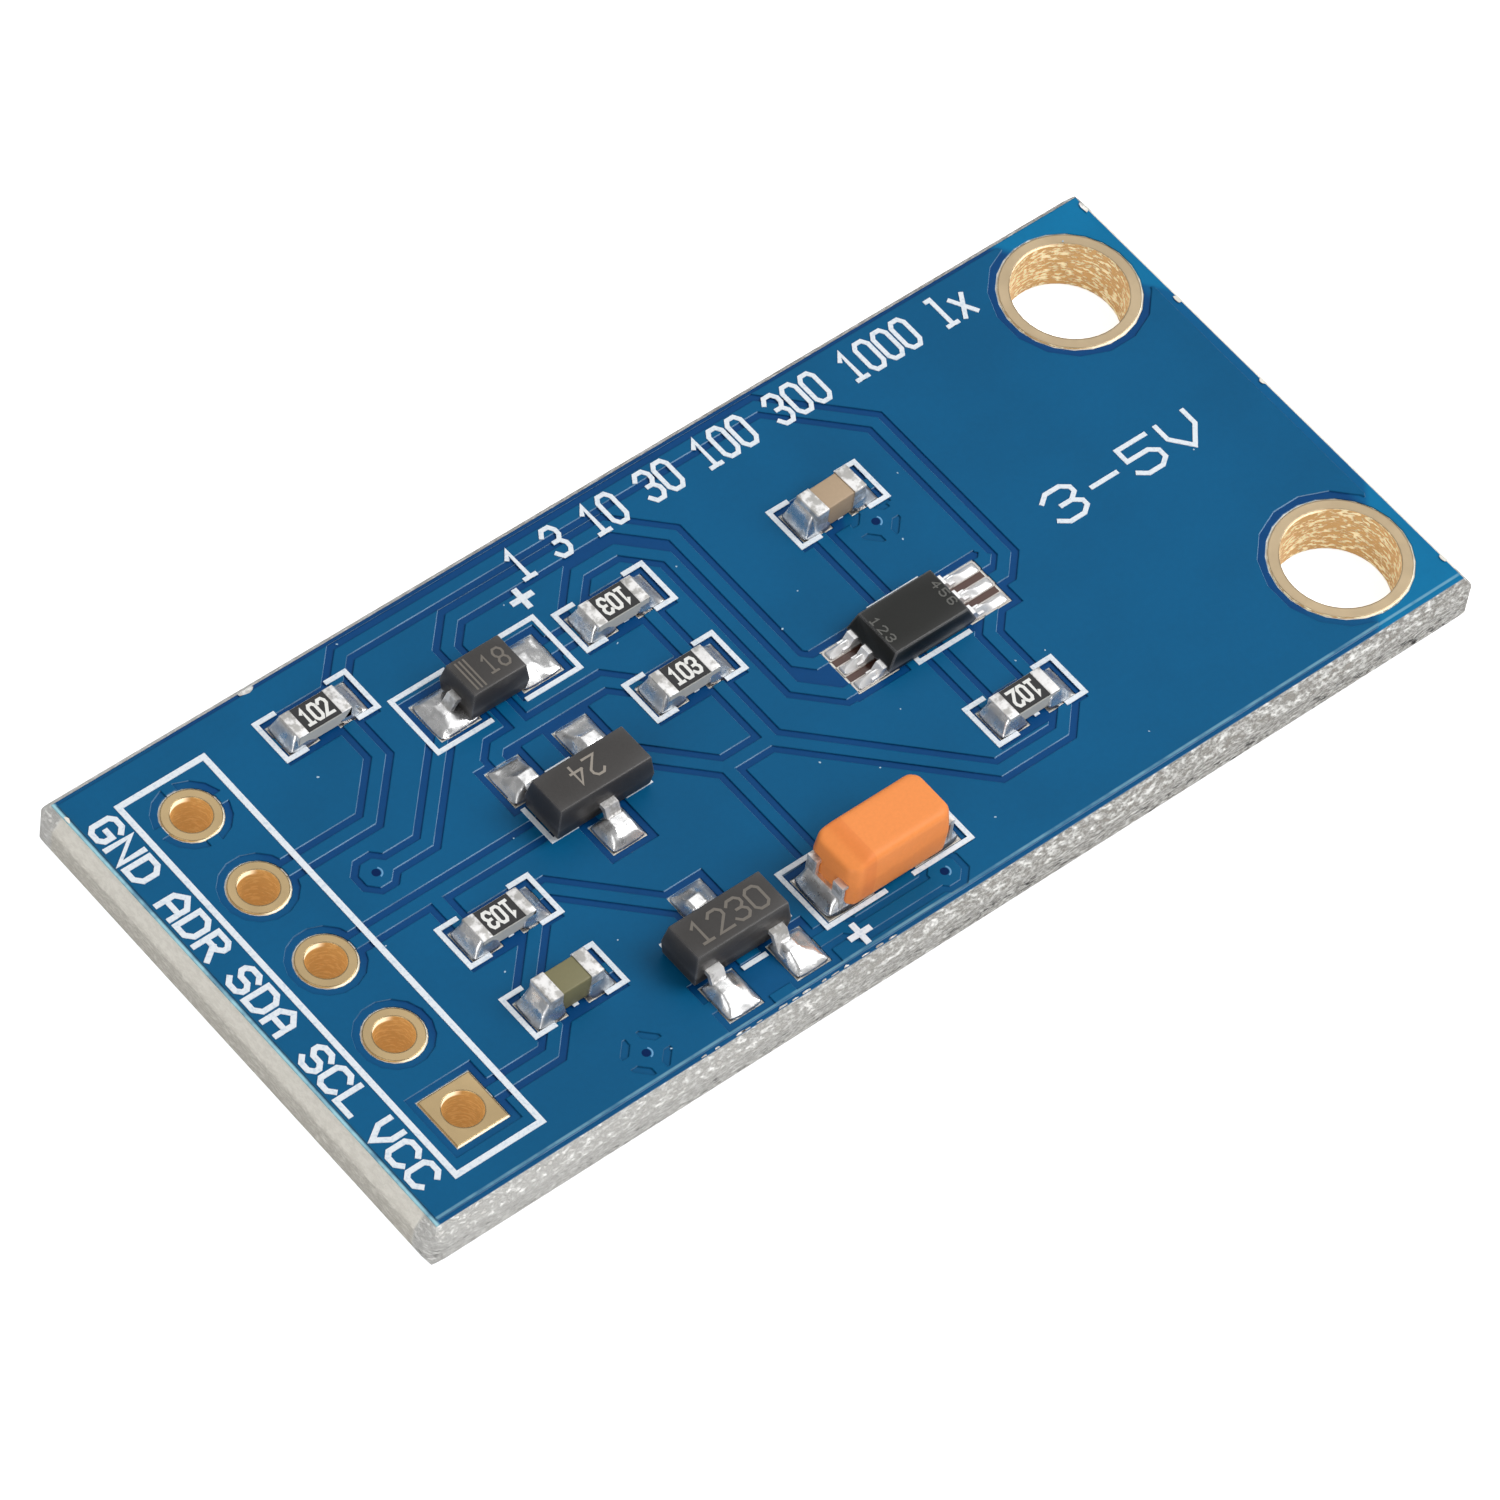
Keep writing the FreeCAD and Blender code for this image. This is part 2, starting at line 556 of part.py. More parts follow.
def chip_resistor():
    """Ceramic body, dark glass coat and two wrapped terminals, standing on z = 0."""
    skin = RESISTOR_TERMINAL_THICKNESS
    body = box(CHIP_LENGTH - 2 * skin, CHIP_WIDTH, skin, RESISTOR_HEIGHT - skin)
    reach = CHIP_LENGTH / 2 - RESISTOR_TERMINAL / 2
    terminals = []
    for side in (-1, 1):
        block = box(RESISTOR_TERMINAL, CHIP_WIDTH, 0, RESISTOR_HEIGHT, side * reach)
        outer = [edge for edge in block.Edges
                 if edge.BoundBox.YLength > CHIP_WIDTH / 2 and abs(edge.CenterOfMass.x) > reach]
        terminals.append(block.makeChamfer(0.6 * skin, outer).cut(body))
    z_coat = RESISTOR_HEIGHT - skin
    coat = box(CHIP_LENGTH - 2 * RESISTOR_TERMINAL, CHIP_WIDTH - 0.04, z_coat,
               z_coat + RESISTOR_COAT_THICKNESS)
    return body, coat, terminals


def chip_capacitor():
    """Ceramic block with two five-sided end caps, standing on z = 0."""
    skin = CAPACITOR_CAP_THICKNESS
    body = box(CHIP_LENGTH - 2 * skin, CHIP_WIDTH - 2 * skin, skin, CAPACITOR_HEIGHT - skin)
    reach = CHIP_LENGTH / 2 - CAPACITOR_CAP / 2
    caps = []
    for side in (-1, 1):
        block = box(CAPACITOR_CAP, CHIP_WIDTH, 0, CAPACITOR_HEIGHT, side * reach)
        outer = [edge for edge in block.Edges if abs(edge.CenterOfMass.x) > reach - CAPACITOR_CAP / 4]
        caps.append(block.makeChamfer(0.9 * skin, outer).cut(body))
    return body, caps


def two_part_block(length, width, levels, draft):
    """Block moulded in two halves, widest at the parting level, with drafted ends and sides."""
    wires = []
    for z, share in zip(levels, (0.5, 0.0, 1.0)):
        x, y = length / 2 - share * draft[0], width / 2 - share * draft[1]
        section = polygon([(-x, -y), (x, -y), (x, y), (-x, y)])
        wires.append(section.translated(FreeCAD.Vector(0, 0, z)).OuterWire)
    return Part.makeLoft(wires, True, True)


def moulded_case(length, width, height):
    """Package case, and the level at which its leads come out."""
    z_part = CASE_UNDERSIDE + CASE_PARTING * (height - CASE_UNDERSIDE)
    return two_part_block(length, width, (CASE_UNDERSIDE, z_part, height), CASE_DRAFT), z_part


def gull_lead(side, y, width, thickness, start, bend, end, z_exit):
    """Lead that leaves the case level at z_exit, bends down and ends flat on z = 0."""
    half = thickness / 2
    line = [(start, z_exit), (bend, z_exit), (bend + 0.5 * z_exit, half), (end, half)]
    outline = [FreeCAD.Vector(side * x, y - width / 2, z) for x, z in strip_outline(line, thickness)]
    face = Part.Face(Part.makePolygon(outline + outline[:1]))
    return face.extrude(FreeCAD.Vector(0, width, 0))


def turned(shape, quarter_turns):
    return shape.rotated(FreeCAD.Vector(0, 0, 0), UP, 90 * quarter_turns)


def sot_package(turn):
    """Three-lead package: a pair of leads on one long side and a lone lead on the other."""
    length, width, height = SOT_CASE
    case, z_part = moulded_case(length, width, height)
    start, bend, end = width / 2 - LEAD_INSIDE_CASE, width / 2 + SOT_SHOULDER, SOT_LEAD_SPAN / 2
    leads = []
    for side, x in ((-turn, -SOT_LEAD_SPREAD), (-turn, SOT_LEAD_SPREAD), (turn, 0.0)):
        lead = gull_lead(side, -x, SOT_LEAD_WIDTH, SOT_LEAD_THICKNESS, start, bend, end, z_part)
        leads.append(turned(lead, 1))
    return case.cut(leads), leads


def diode_package():
    """Two-lead package with a lead at each end."""
    length, width, height = DIODE_CASE
    case, z_part = moulded_case(length, width, height)
    start, bend, end = length / 2 - LEAD_INSIDE_CASE, length / 2 + DIODE_SHOULDER, DIODE_LEAD_SPAN / 2
    leads = [gull_lead(side, 0, DIODE_LEAD_WIDTH, DIODE_LEAD_THICKNESS, start, bend, end, z_part)
             for side in (-1, 1)]
    return case.cut(leads), leads


def sensor_package():
    """Low package with steep ends and three leads at each of them."""
    length, width, height = SENSOR_CASE
    level = SENSOR_LEAD_LEVEL
    case = two_part_block(length, width, (CASE_UNDERSIDE, level, height), SENSOR_DRAFT)
    start, bend, end = length / 2 - LEAD_INSIDE_CASE, length / 2 + SENSOR_SHOULDER, SENSOR_LEAD_SPAN / 2
    rows = {-1: [], 1: []}
    for side, leads in rows.items():
        for row in (-1, 0, 1):
            leads.append(gull_lead(side, row * SENSOR_LEAD_PITCH, SENSOR_LEAD_WIDTH, SENSOR_LEAD_THICKNESS,
                                   start, bend, end, level))
    return case.cut(rows[-1] + rows[1]), rows[-1], rows[1]


def tantalum_package():
    """Moulded block, bevelled at its plus end, with two straps folded down its ends and under it."""
    thickness, gap = TANTALUM_LEAD_THICKNESS, TANTALUM_CLEARANCE
    length, width, height = TANTALUM_LENGTH, TANTALUM_WIDTH, TANTALUM_HEIGHT
    levels = (thickness + gap, TANTALUM_LEAD_RISE, height)
    case = two_part_block(length, width, levels, (TANTALUM_DRAFT, TANTALUM_DRAFT))
    upright = [edge for edge in case.Edges if edge.BoundBox.ZLength > height / 3]
    case = case.makeChamfer(TANTALUM_CORNER, upright)
    rim = [edge for edge in case.Edges if edge.BoundBox.ZMin > height - gap]
    case = case.makeChamfer(TANTALUM_RIM, rim).cut(tantalum_bevel())
    straps = []
    for side in (-1, 1):
        outer = length / 2 + gap + thickness / 2
        line = [(length / 2 - LEAD_INSIDE_CASE, TANTALUM_LEAD_RISE), (outer, TANTALUM_LEAD_RISE),
                (outer, thickness / 2), (length / 2 - TANTALUM_LEAD_FOOT, thickness / 2)]
        outline = [FreeCAD.Vector(side * x, -TANTALUM_LEAD_WIDTH / 2, z)
                   for x, z in strip_outline(line, thickness)]
        strap = Part.Face(Part.makePolygon(outline + outline[:1]))
        strap = strap.extrude(FreeCAD.Vector(0, TANTALUM_LEAD_WIDTH, 0))
        fork = box(length / 4, TANTALUM_FORK_GAP, TANTALUM_FORK_FLOOR, height, side * (outer + thickness))
        straps.append(strap.cut(fork))
    return case.cut(straps), straps


def tantalum_bevel():
    """Wedge that slopes the top down towards the plus end."""
    run, drop = TANTALUM_BEVEL
    end = -TANTALUM_LENGTH / 2 + TANTALUM_DRAFT
    top = TANTALUM_HEIGHT
    corners = ((end + run, top), (end - run, top), (end - run, top - 2 * drop))
    points = [FreeCAD.Vector(x, -TANTALUM_WIDTH, z) for x, z in corners]
    wedge = Part.Face(Part.makePolygon(points + points[:1]))
    return wedge.extrude(FreeCAD.Vector(0, 2 * TANTALUM_WIDTH, 0))


def chip_solder(name, shift, height):
    """Film under a chip's terminals with a hollow fillet up each end."""
    joints = []
    margin = SOLDER_MARGIN
    for side, (at, length, width) in zip((-1, 1), PADS[name]):
        outer = CHIP_PAD_SPREAD + length / 2 - margin
        wall = CHIP_LENGTH / 2 + side * shift[0] - CAPACITOR_CAP_THICKNESS / 2
        inner = CHIP_PAD_SPREAD - length / 2 + margin
        top = CHIP_SOLDER_CLIMB * height + SOLDER_FILM
        low = SOLDER_FILM
        points = [FreeCAD.Vector(side * x, 0, z) for x, z in
                  ((wall, top), (wall, low), (inner, low), (inner, 0), (outer, 0), (outer, low))]
        for out, rise in CHIP_SOLDER_HOLLOW:
            points.append(FreeCAD.Vector(side * (wall + out * (outer - wall)), 0, low + rise * (top - low)))
        profile = Part.Face(Part.makePolygon(points + points[:1]))
        breadth = width - 2 * margin
        joint = profile.translated(FreeCAD.Vector(0, -breadth / 2, 0)).extrude(FreeCAD.Vector(0, breadth, 0))
        joints.append(joint)
    return joints


def lead_solder(name):
    """Soft pillows on a footprint's pads, which the leads sink into."""
    at = {"regulator": REGULATOR_AT, "transistor": TRANSISTOR_AT, "diode": DIODE_AT,
          "tantalum": TANTALUM_AT, "sensor": SENSOR_AT}[name]
    joints = []
    for (u, v), length, width in PADS[name]:
        pillow = box(length - 2 * SOLDER_MARGIN, width - 2 * SOLDER_MARGIN, 0, SOLDER_PILLOW,
                     u - at[0], v - at[1])
        top = [edge for edge in pillow.Edges if edge.BoundBox.ZMin > SOLDER_PILLOW - 0.01]
        joints.append(pillow.makeChamfer(0.6 * SOLDER_PILLOW, top))
    return joints


def seated(shape, at, shift=(0.0, 0.0), angle=0.0, z=Z_SEAT):
    """Local shape turned about its own middle, then moved to its footprint."""
    shape = shape.rotated(FreeCAD.Vector(0, 0, 0), UP, angle)
    return shape.translated(place(at[0] + shift[0], at[1] + shift[1], z))


def group(shapes):
    solids = [solid for shape in shapes for solid in shape.Solids]
    return solids[0] if len(solids) == 1 else Part.makeCompound(solids)


def board_nodes():
    nodes = {
        "board_core": board_core(),
        "copper_top": group(raised(copper_top_face(), Z_CORE_TOP, Z_COPPER_TOP)),
        "copper_bottom": group(raised(bottom_copper_face(), MASK_THICKNESS, Z_CORE)),
        "solder_mask_top": group([top_mask()]),
        "solder_mask_bottom": group([bottom_mask()]),
        "silkscreen_outlines": group(silkscreen()),
        "filled_vias": group(filled_vias()),
    }
    for name, at in PIN_PLACES.items():
        nodes["pin_hole_" + name] = plated_hole(at, PIN_HOLE_RADIUS, PIN_PAD_RADIUS, name == "vcc")
    for name, at in MOUNT_PLACES.items():
        nodes["mounting_eyelet_" + name] = plated_hole(at, MOUNT_HOLE_RADIUS, MOUNT_RING_RADIUS)
    return nodes


def chip_nodes():
    nodes = {}
    for name, (at, shift, angle) in RESISTORS.items():
        body, coat, terminals = chip_resistor()
        nodes[name + "_body"] = seated(body, at, shift, angle)
        nodes[name + "_coat"] = seated(coat, at, shift, angle)
        nodes[name + "_terminals"] = group([seated(end, at, shift, angle) for end in terminals])
        joints = [seated(joint, at, z=Z_COPPER_TOP) for joint in chip_solder(name, shift, RESISTOR_HEIGHT)]
        nodes[name + "_solder"] = group([joint.cut(nodes[name + "_terminals"]) for joint in joints])
    for name, (at, shift, angle) in CAPACITORS.items():
        body, caps = chip_capacitor()
        nodes[name + "_body"] = seated(body, at, shift, angle)
        nodes[name + "_end_caps"] = group([seated(cap, at, shift, angle) for cap in caps])
        joints = [seated(joint, at, z=Z_COPPER_TOP) for joint in chip_solder(name, shift, CAPACITOR_HEIGHT)]
        nodes[name + "_solder"] = group([joint.cut(nodes[name + "_end_caps"]) for joint in joints])
    return nodes


def package_nodes():
    nodes = {}
    packages = (("regulator", REGULATOR_AT, REGULATOR_SHIFT, sot_package(1)),
                ("transistor", TRANSISTOR_AT, TRANSISTOR_SHIFT, sot_package(-1)),
                ("diode", DIODE_AT, DIODE_SHIFT, diode_package()),
                ("tantalum", TANTALUM_AT, TANTALUM_SHIFT, tantalum_package()))
    for name, at, shift, (case, leads) in packages:
        nodes[name + "_case"] = seated(case, at, shift)
        leads = [seated(lead, at, shift) for lead in leads]
        if name in ("diode", "tantalum"):
            nodes[name + "_lead_plus"], nodes[name + "_lead_minus"] = leads
        else:
            nodes[name + "_leads"] = group(leads)
        pillows = [seated(joint, at, z=Z_COPPER_TOP) for joint in lead_solder(name)]
        cutters = leads + [nodes[name + "_case"]]
        nodes[name + "_solder"] = group([pillow.cut(cutters) for pillow in pillows])
    case, low_row, high_row = sensor_package()
    nodes["sensor_case"] = seated(case, SENSOR_AT, SENSOR_SHIFT)
    rows = [[seated(lead, SENSOR_AT, SENSOR_SHIFT) for lead in row] for row in (low_row, high_row)]
    nodes["sensor_leads_left"] = group(rows[0])
    nodes["sensor_leads_right"] = group(rows[1])
    pillows = [seated(joint, SENSOR_AT, z=Z_COPPER_TOP) for joint in lead_solder("sensor")]
    nodes["sensor_solder"] = group([pillow.cut(rows[0] + rows[1] + [nodes["sensor_case"]])
                                    for pillow in pillows])
    return nodes


def main():
    os.makedirs("parts", exist_ok=True)
    nodes = {**board_nodes(), **chip_nodes(), **package_nodes()}
    for name, shape in nodes.items():
        shape.exportStep("parts/" + name + ".step")
        print(name, len(shape.Solids), round(shape.Volume, 4), shape.isValid())
    print(len(nodes), "nodes")


main()
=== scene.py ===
import json
import math
import random

import bmesh
import bpy
import numpy as np
from mathutils import Matrix, Vector, noise


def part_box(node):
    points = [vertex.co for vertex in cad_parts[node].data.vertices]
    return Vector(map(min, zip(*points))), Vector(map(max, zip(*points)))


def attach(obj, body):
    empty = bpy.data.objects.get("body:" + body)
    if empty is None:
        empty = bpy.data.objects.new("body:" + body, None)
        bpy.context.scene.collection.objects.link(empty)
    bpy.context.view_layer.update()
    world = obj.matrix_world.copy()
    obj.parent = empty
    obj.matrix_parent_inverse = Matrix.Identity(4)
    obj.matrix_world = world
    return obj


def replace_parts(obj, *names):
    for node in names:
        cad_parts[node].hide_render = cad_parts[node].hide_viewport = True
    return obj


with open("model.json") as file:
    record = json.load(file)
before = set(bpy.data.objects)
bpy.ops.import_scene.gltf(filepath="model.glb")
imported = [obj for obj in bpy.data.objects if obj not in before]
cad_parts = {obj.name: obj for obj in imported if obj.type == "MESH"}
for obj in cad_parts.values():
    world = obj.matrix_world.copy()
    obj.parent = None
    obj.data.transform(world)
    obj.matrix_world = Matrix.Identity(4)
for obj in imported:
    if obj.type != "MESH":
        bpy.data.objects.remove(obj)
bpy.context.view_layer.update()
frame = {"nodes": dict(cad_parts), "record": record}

# Sizes below are millimetres on the board: u runs along it from the pin holes, v across it.
MM = 0.001
MASK_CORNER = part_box("solder_mask_top")[1]
HALF_LENGTH = MASK_CORNER[0] / MM
HALF_WIDTH = MASK_CORNER[1] / MM
Z_TOP = MASK_CORNER[2] / MM
Z_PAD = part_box("sensor_solder")[0][2] / MM
SLOTS = {entry["node"]: entry["material_slot"] for entry in frame["record"]["subparts"]}
RESISTORS = ["resistor_%d" % number for number in range(1, 6)]
CAPACITORS = ["capacitor_%d" % number for number in (1, 2)]


# Reading the CAD

def on_board(u, v, z=0.0):
    """Place in the row's frame, in metres, of a place on the board."""
    return Vector(((u - HALF_LENGTH) * MM, v * MM, z * MM))


def merged_shape(node):
    """A CAD node's triangles joined up, in millimetres."""
    shape = bmesh.new()
    shape.from_mesh(frame["nodes"][node].data)
    bmesh.ops.scale(shape, vec=Vector((1, 1, 1)) / MM, verts=shape.verts)
    bmesh.ops.remove_doubles(shape, verts=shape.verts, dist=0.0005)
    return shape


def islands(node):
    """Box in millimetres, as (low, high) corners, of each separate solid of a node."""
    shape = merged_shape(node)
    left = set(shape.verts)
    boxes = []
    while left:
        reached = [left.pop()]
        corners = []
        while reached:
            vert = reached.pop()
            corners.append(vert.co.copy())
            for edge in vert.link_edges:
                other = edge.other_vert(vert)
                if other in left:
                    left.remove(other)
                    reached.append(other)
        points = np.array(corners)
        boxes.append((points.min(axis=0), points.max(axis=0)))
    shape.free()
    return sorted(boxes, key=lambda box: (round(float(box[0][0]), 2), round(float(box[0][1]), 2)))


def top_middle(node):
    """Board place and height of the middle of a node's top."""
    low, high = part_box(node)
    return ((low[0] + high[0]) / 2 / MM + HALF_LENGTH, (low[1] + high[1]) / 2 / MM, high[2] / MM)


# Shader building

def to_linear(red, green, blue):
    """Linear colour from one given as it looks on a screen, 0 to 255."""
    return [((c / 255 + 0.055) / 1.055) ** 2.4 if c > 10 else c / 255 / 12.92
            for c in (red, green, blue)] + [1.0]


class Tree:
    """Adds nodes to a material or a node group by short calls."""

    def __init__(self, tree):
        self.tree = tree

    def node(self, kind, **settings):
        node = self.tree.nodes.new(kind)
        for key, value in settings.items():
            setattr(node, key, value)
        return node

    def feed(self, value, socket):
        if isinstance(value, bpy.types.NodeSocket):
            self.tree.links.new(value, socket)
        elif value is not None:
            socket.default_value = value

    def fill(self, sockets, values):
        """Feeds several sockets, given by name or by number."""
        for name, value in values.items():
            self.feed(value, sockets[name])

    def math(self, operation, a, b=0.0):
        node = self.node("ShaderNodeMath", operation=operation)
        self.fill(node.inputs, {0: a, 1: b})
        return node.outputs[0]

    def times(self, first, *others):
        for other in others:
            first = self.math("MULTIPLY", first, other)
        return first

    def vector_math(self, operation, a, b):
        node = self.node("ShaderNodeVectorMath", operation=operation)
        self.fill(node.inputs, {0: a, 1: b})
        return node.outputs["Value" if operation in ("DOT_PRODUCT", "DISTANCE") else "Vector"]

    def shaded(self, color, shade):
        """Colour times a factor."""
        node = self.node("ShaderNodeVectorMath", operation="SCALE")
        self.fill(node.inputs, {0: color[:3] if isinstance(color, list) else color, "Scale": shade})
        return node.outputs[0]

    def ramp(self, value, low, high, out_low=0.0, out_high=1.0):
        node = self.node("ShaderNodeMapRange", interpolation_type="SMOOTHSTEP")
        self.fill(node.inputs, {"Value": value, "From Min": low, "From Max": high,
                                "To Min": out_low, "To Max": out_high})
        return node.outputs["Result"]

    def between(self, place, low, high, out_low=0.0, out_high=1.0):
        """Ramp from one place in millimetres to another."""
        return self.ramp(place, low * MM, high * MM, out_low, out_high)

    def mix(self, factor, a, b):
        node = self.node("ShaderNodeMix", data_type="RGBA")
        self.fill(node.inputs, {0: factor, 6: a, 7: b})
        return node.outputs[2]

    def noise(self, coords, scale, detail=3.0, roughness=0.55):
        node = self.node("ShaderNodeTexNoise")
        self.fill(node.inputs, {"Vector": coords, "Scale": scale, "Detail": detail, "Roughness": roughness})
        return node.outputs["Fac"]

    def coords(self):
        return self.node("ShaderNodeTexCoord").outputs["Object"]

    def surface(self, name):
        return self.node("ShaderNodeNewGeometry").outputs[name]

    def split(self, vector):
        node = self.node("ShaderNodeSeparateXYZ")
        self.feed(vector, node.inputs[0])
        return node.outputs

    def bump(self, height, distance, normal=None):
        node = self.node("ShaderNodeBump")
        self.fill(node.inputs, {"Height": height, "Distance": distance, "Strength": 1.0, "Normal": normal})
        return node.outputs["Normal"]

    def soft_edges(self, radius):
        node = self.node("ShaderNodeBevel", samples=6)
        self.feed(radius * MM, node.inputs["Radius"])
        return node.outputs["Normal"]

    def use(self, group, **inputs):
        node = self.node("ShaderNodeGroup", node_tree=group)
        self.fill(node.inputs, inputs)
        return node.outputs


def new_group(name, kind, inputs, outputs):
    """Empty node group, with the tree helper and its input and output nodes."""
    group = bpy.data.node_groups.new(name, kind)
    for side, sockets in (("INPUT", inputs), ("OUTPUT", outputs)):
        for label, socket_kind in sockets:
            group.interface.new_socket(label, in_out=side, socket_type="NodeSocket" + socket_kind)
    tree = Tree(group)
    return group, tree, tree.node("NodeGroupInput").outputs, tree.node("NodeGroupOutput").inputs


def grain_group():
    """Fine grain: a bump of one feature size and depth, and a speckle that lightens or darkens a colour."""
    group, tree, given, result = new_group(
        "grain", "ShaderNodeTree",
        (("Size", "Float"), ("Depth", "Float"), ("Spread", "Float"), ("Normal", "Vector")),
        (("Normal", "Vector"), ("Shade", "Float")))
    field = tree.noise(tree.coords(), tree.math("DIVIDE", 1.0 / MM, given["Size"]), 4.0, 0.6)
    tree.feed(tree.bump(field, tree.times(given["Depth"], MM), given["Normal"]), result["Normal"])
    swing = tree.times(tree.math("SUBTRACT", field, 0.5), given["Spread"])
    tree.feed(tree.math("ADD", swing, 1.0), result["Shade"])
    return group


GRAIN = grain_group()


def new_material(name):
    """Empty material, with the tree helper and its shader's inputs."""
    material = bpy.data.materials.new(name)
    material.use_nodes = True
    return material, Tree(material.node_tree), material.node_tree.nodes["Principled BSDF"].inputs


# The finishes

# Colour of the painted highlight on rounded edges.
EDGE_HIGHLIGHT_COLOR = to_linear(140, 140, 142)


def plain_material(name, color, roughness, metallic=0.0, size=0.1, depth=0.001, spread=0.15, edge=0.0,
                   level=0.5):
    """Material of one colour with grain, and soft edges made paler by a painted highlight where edge is
    above zero.
    """
    material, tree, shader = new_material(name)
    normal = tree.soft_edges(edge) if edge else tree.surface("Normal")
    grain = tree.use(GRAIN, Size=size, Depth=depth, Spread=spread, Normal=normal)
    if edge:
        # Painted highlight: paler where the soft normal turns from the true one, at the edges.
        turn = tree.vector_math("DOT_PRODUCT", normal, tree.surface("True Normal"))
        color = tree.mix(tree.ramp(turn, 0.998, 0.95, 0.0, 0.7), color, EDGE_HIGHLIGHT_COLOR)
    tree.fill(shader, {"Base Color": tree.shaded(color, grain["Shade"]), "Normal": grain["Normal"],
                       "Roughness": roughness, "Metallic": metallic, "Specular IOR Level": level})
    return material


MASK_COLOR = to_linear(0, 87, 131)
MASK_CHANNEL_COLOR = to_linear(0, 66, 120)
MASK_BARE_COLOR = to_linear(0, 112, 160)
MASK_GLINT_COLOR = to_linear(150, 188, 222)
# Colour of the painted highlight along the mask's rim at the left end and the near side.
MASK_RIM_HIGHLIGHT = to_linear(160, 210, 222)
GLINT_SIDE = (0.55, -0.83, 0.0)
BARE_SLOPE = 0.7516
BARE_START, BARE_END = 18.3, 18.7


def near_ground_vias(tree, coords):
    """One round the vias to the ground plane, where the channels between the spokes are filled in."""
    nearest = 1.0
    for low, high in islands("filled_vias")[1::2]:
        via = ((low[0] + high[0]) / 2 * MM, (low[1] + high[1]) / 2 * MM, Z_TOP * MM)
        nearest = tree.math("MINIMUM", nearest, tree.vector_math("DISTANCE", coords, via))
    return tree.between(nearest, 0.85, 0.7)


def faint_channels(tree, coords):
    """How far the mask has filled its channels: by the pins, along the near side and round two vias."""
    x, y = tree.split(coords)[:2]
    sides = tree.math("MAXIMUM", tree.between(x, 3.4 - HALF_LENGTH, 2.8 - HALF_LENGTH, 0.0, 0.6),
                      tree.between(y, 1.7 - HALF_WIDTH, 1.2 - HALF_WIDTH, 0.0, 0.6))
    return tree.math("MAXIMUM", sides, tree.times(near_ground_vias(tree, coords), 0.8))


def mask_material():
    """Blue mask: darker in the channels, with a painted highlight at two rims and a light line on edges that
    face a lamp.
    """
    material, tree, shader = new_material("blue_mask")
    coords = tree.coords()
    x, y, z = tree.split(coords)
    raised = tree.between(z, Z_TOP - 0.03, Z_TOP - 0.008)
    diagonal = tree.math("ADD", x, tree.times(tree.math("ABSOLUTE", y), BARE_SLOPE))
    bare = tree.math("MAXIMUM", tree.between(diagonal, BARE_START, BARE_END),
                     tree.between(x, HALF_LENGTH - 0.7, HALF_LENGTH - 0.4, 0.0, 0.45))
    faint = faint_channels(tree, coords)
    low = tree.mix(bare, tree.mix(faint, MASK_CHANNEL_COLOR, MASK_COLOR), MASK_BARE_COLOR)
    cloud = tree.ramp(tree.noise(coords, 260.0), 0.3, 0.7, 0.94, 1.06)
    grain = tree.use(GRAIN, Size=0.16, Depth=0.001, Spread=0.14, Normal=tree.soft_edges(0.045))
    color = tree.shaded(tree.mix(raised, low, MASK_COLOR), tree.times(cloud, grain["Shade"]))
    facing = tree.vector_math("DOT_PRODUCT", tree.soft_edges(0.03), GLINT_SIDE)
    broken = tree.ramp(tree.noise(coords, 900.0, 2.0), 0.3, 0.6, 0.4, 0.95)
    clear = tree.math("SUBTRACT", 1.0, tree.times(faint, 0.8))
    color = tree.mix(tree.times(tree.ramp(facing, 0.26, 0.6), broken, clear), color, MASK_GLINT_COLOR)
    # Painted highlight along two rims of the mask, broken up by noise.
    rim_breakup = tree.ramp(tree.noise(coords, 1500.0), 0.3, 0.6, 0.4, 1.0)
    end = tree.between(x, 0.13 - HALF_LENGTH, 0.04 - HALF_LENGTH)
    line = tree.times(tree.between(y, 0.21 - HALF_WIDTH, 0.18 - HALF_WIDTH),
                      tree.between(y, 0.11 - HALF_WIDTH, 0.14 - HALF_WIDTH, 0.0, 0.4))
    rim = tree.times(tree.math("MAXIMUM", end, line), rim_breakup)
    tree.fill(shader, {"Base Color": tree.mix(rim, color, MASK_RIM_HIGHLIGHT), "Normal": grain["Normal"],
                       "Roughness": 0.42, "Specular IOR Level": 0.12})
    return material


def ink_material():
    """White ink with thin spots."""
    material, tree, shader = new_material("white_ink")
    thin = tree.ramp(tree.noise(tree.coords(), 11000.0), 0.3, 0.52, 0.35, 0.0)
    tree.fill(shader, {"Base Color": tree.mix(thin, to_linear(228, 234, 240), to_linear(150, 180, 205)),
                       "Roughness": 0.55, "Specular IOR Level": 0.2})
    return material


END_LIGHT, END_DARK = to_linear(236, 232, 222), to_linear(186, 180, 168)
SIDE_LIGHT, SIDE_DARK = to_linear(251, 250, 246), to_linear(158, 153, 146)
PIT_COLOR = to_linear(48, 46, 43)
CUT_RELIEF = 0.03


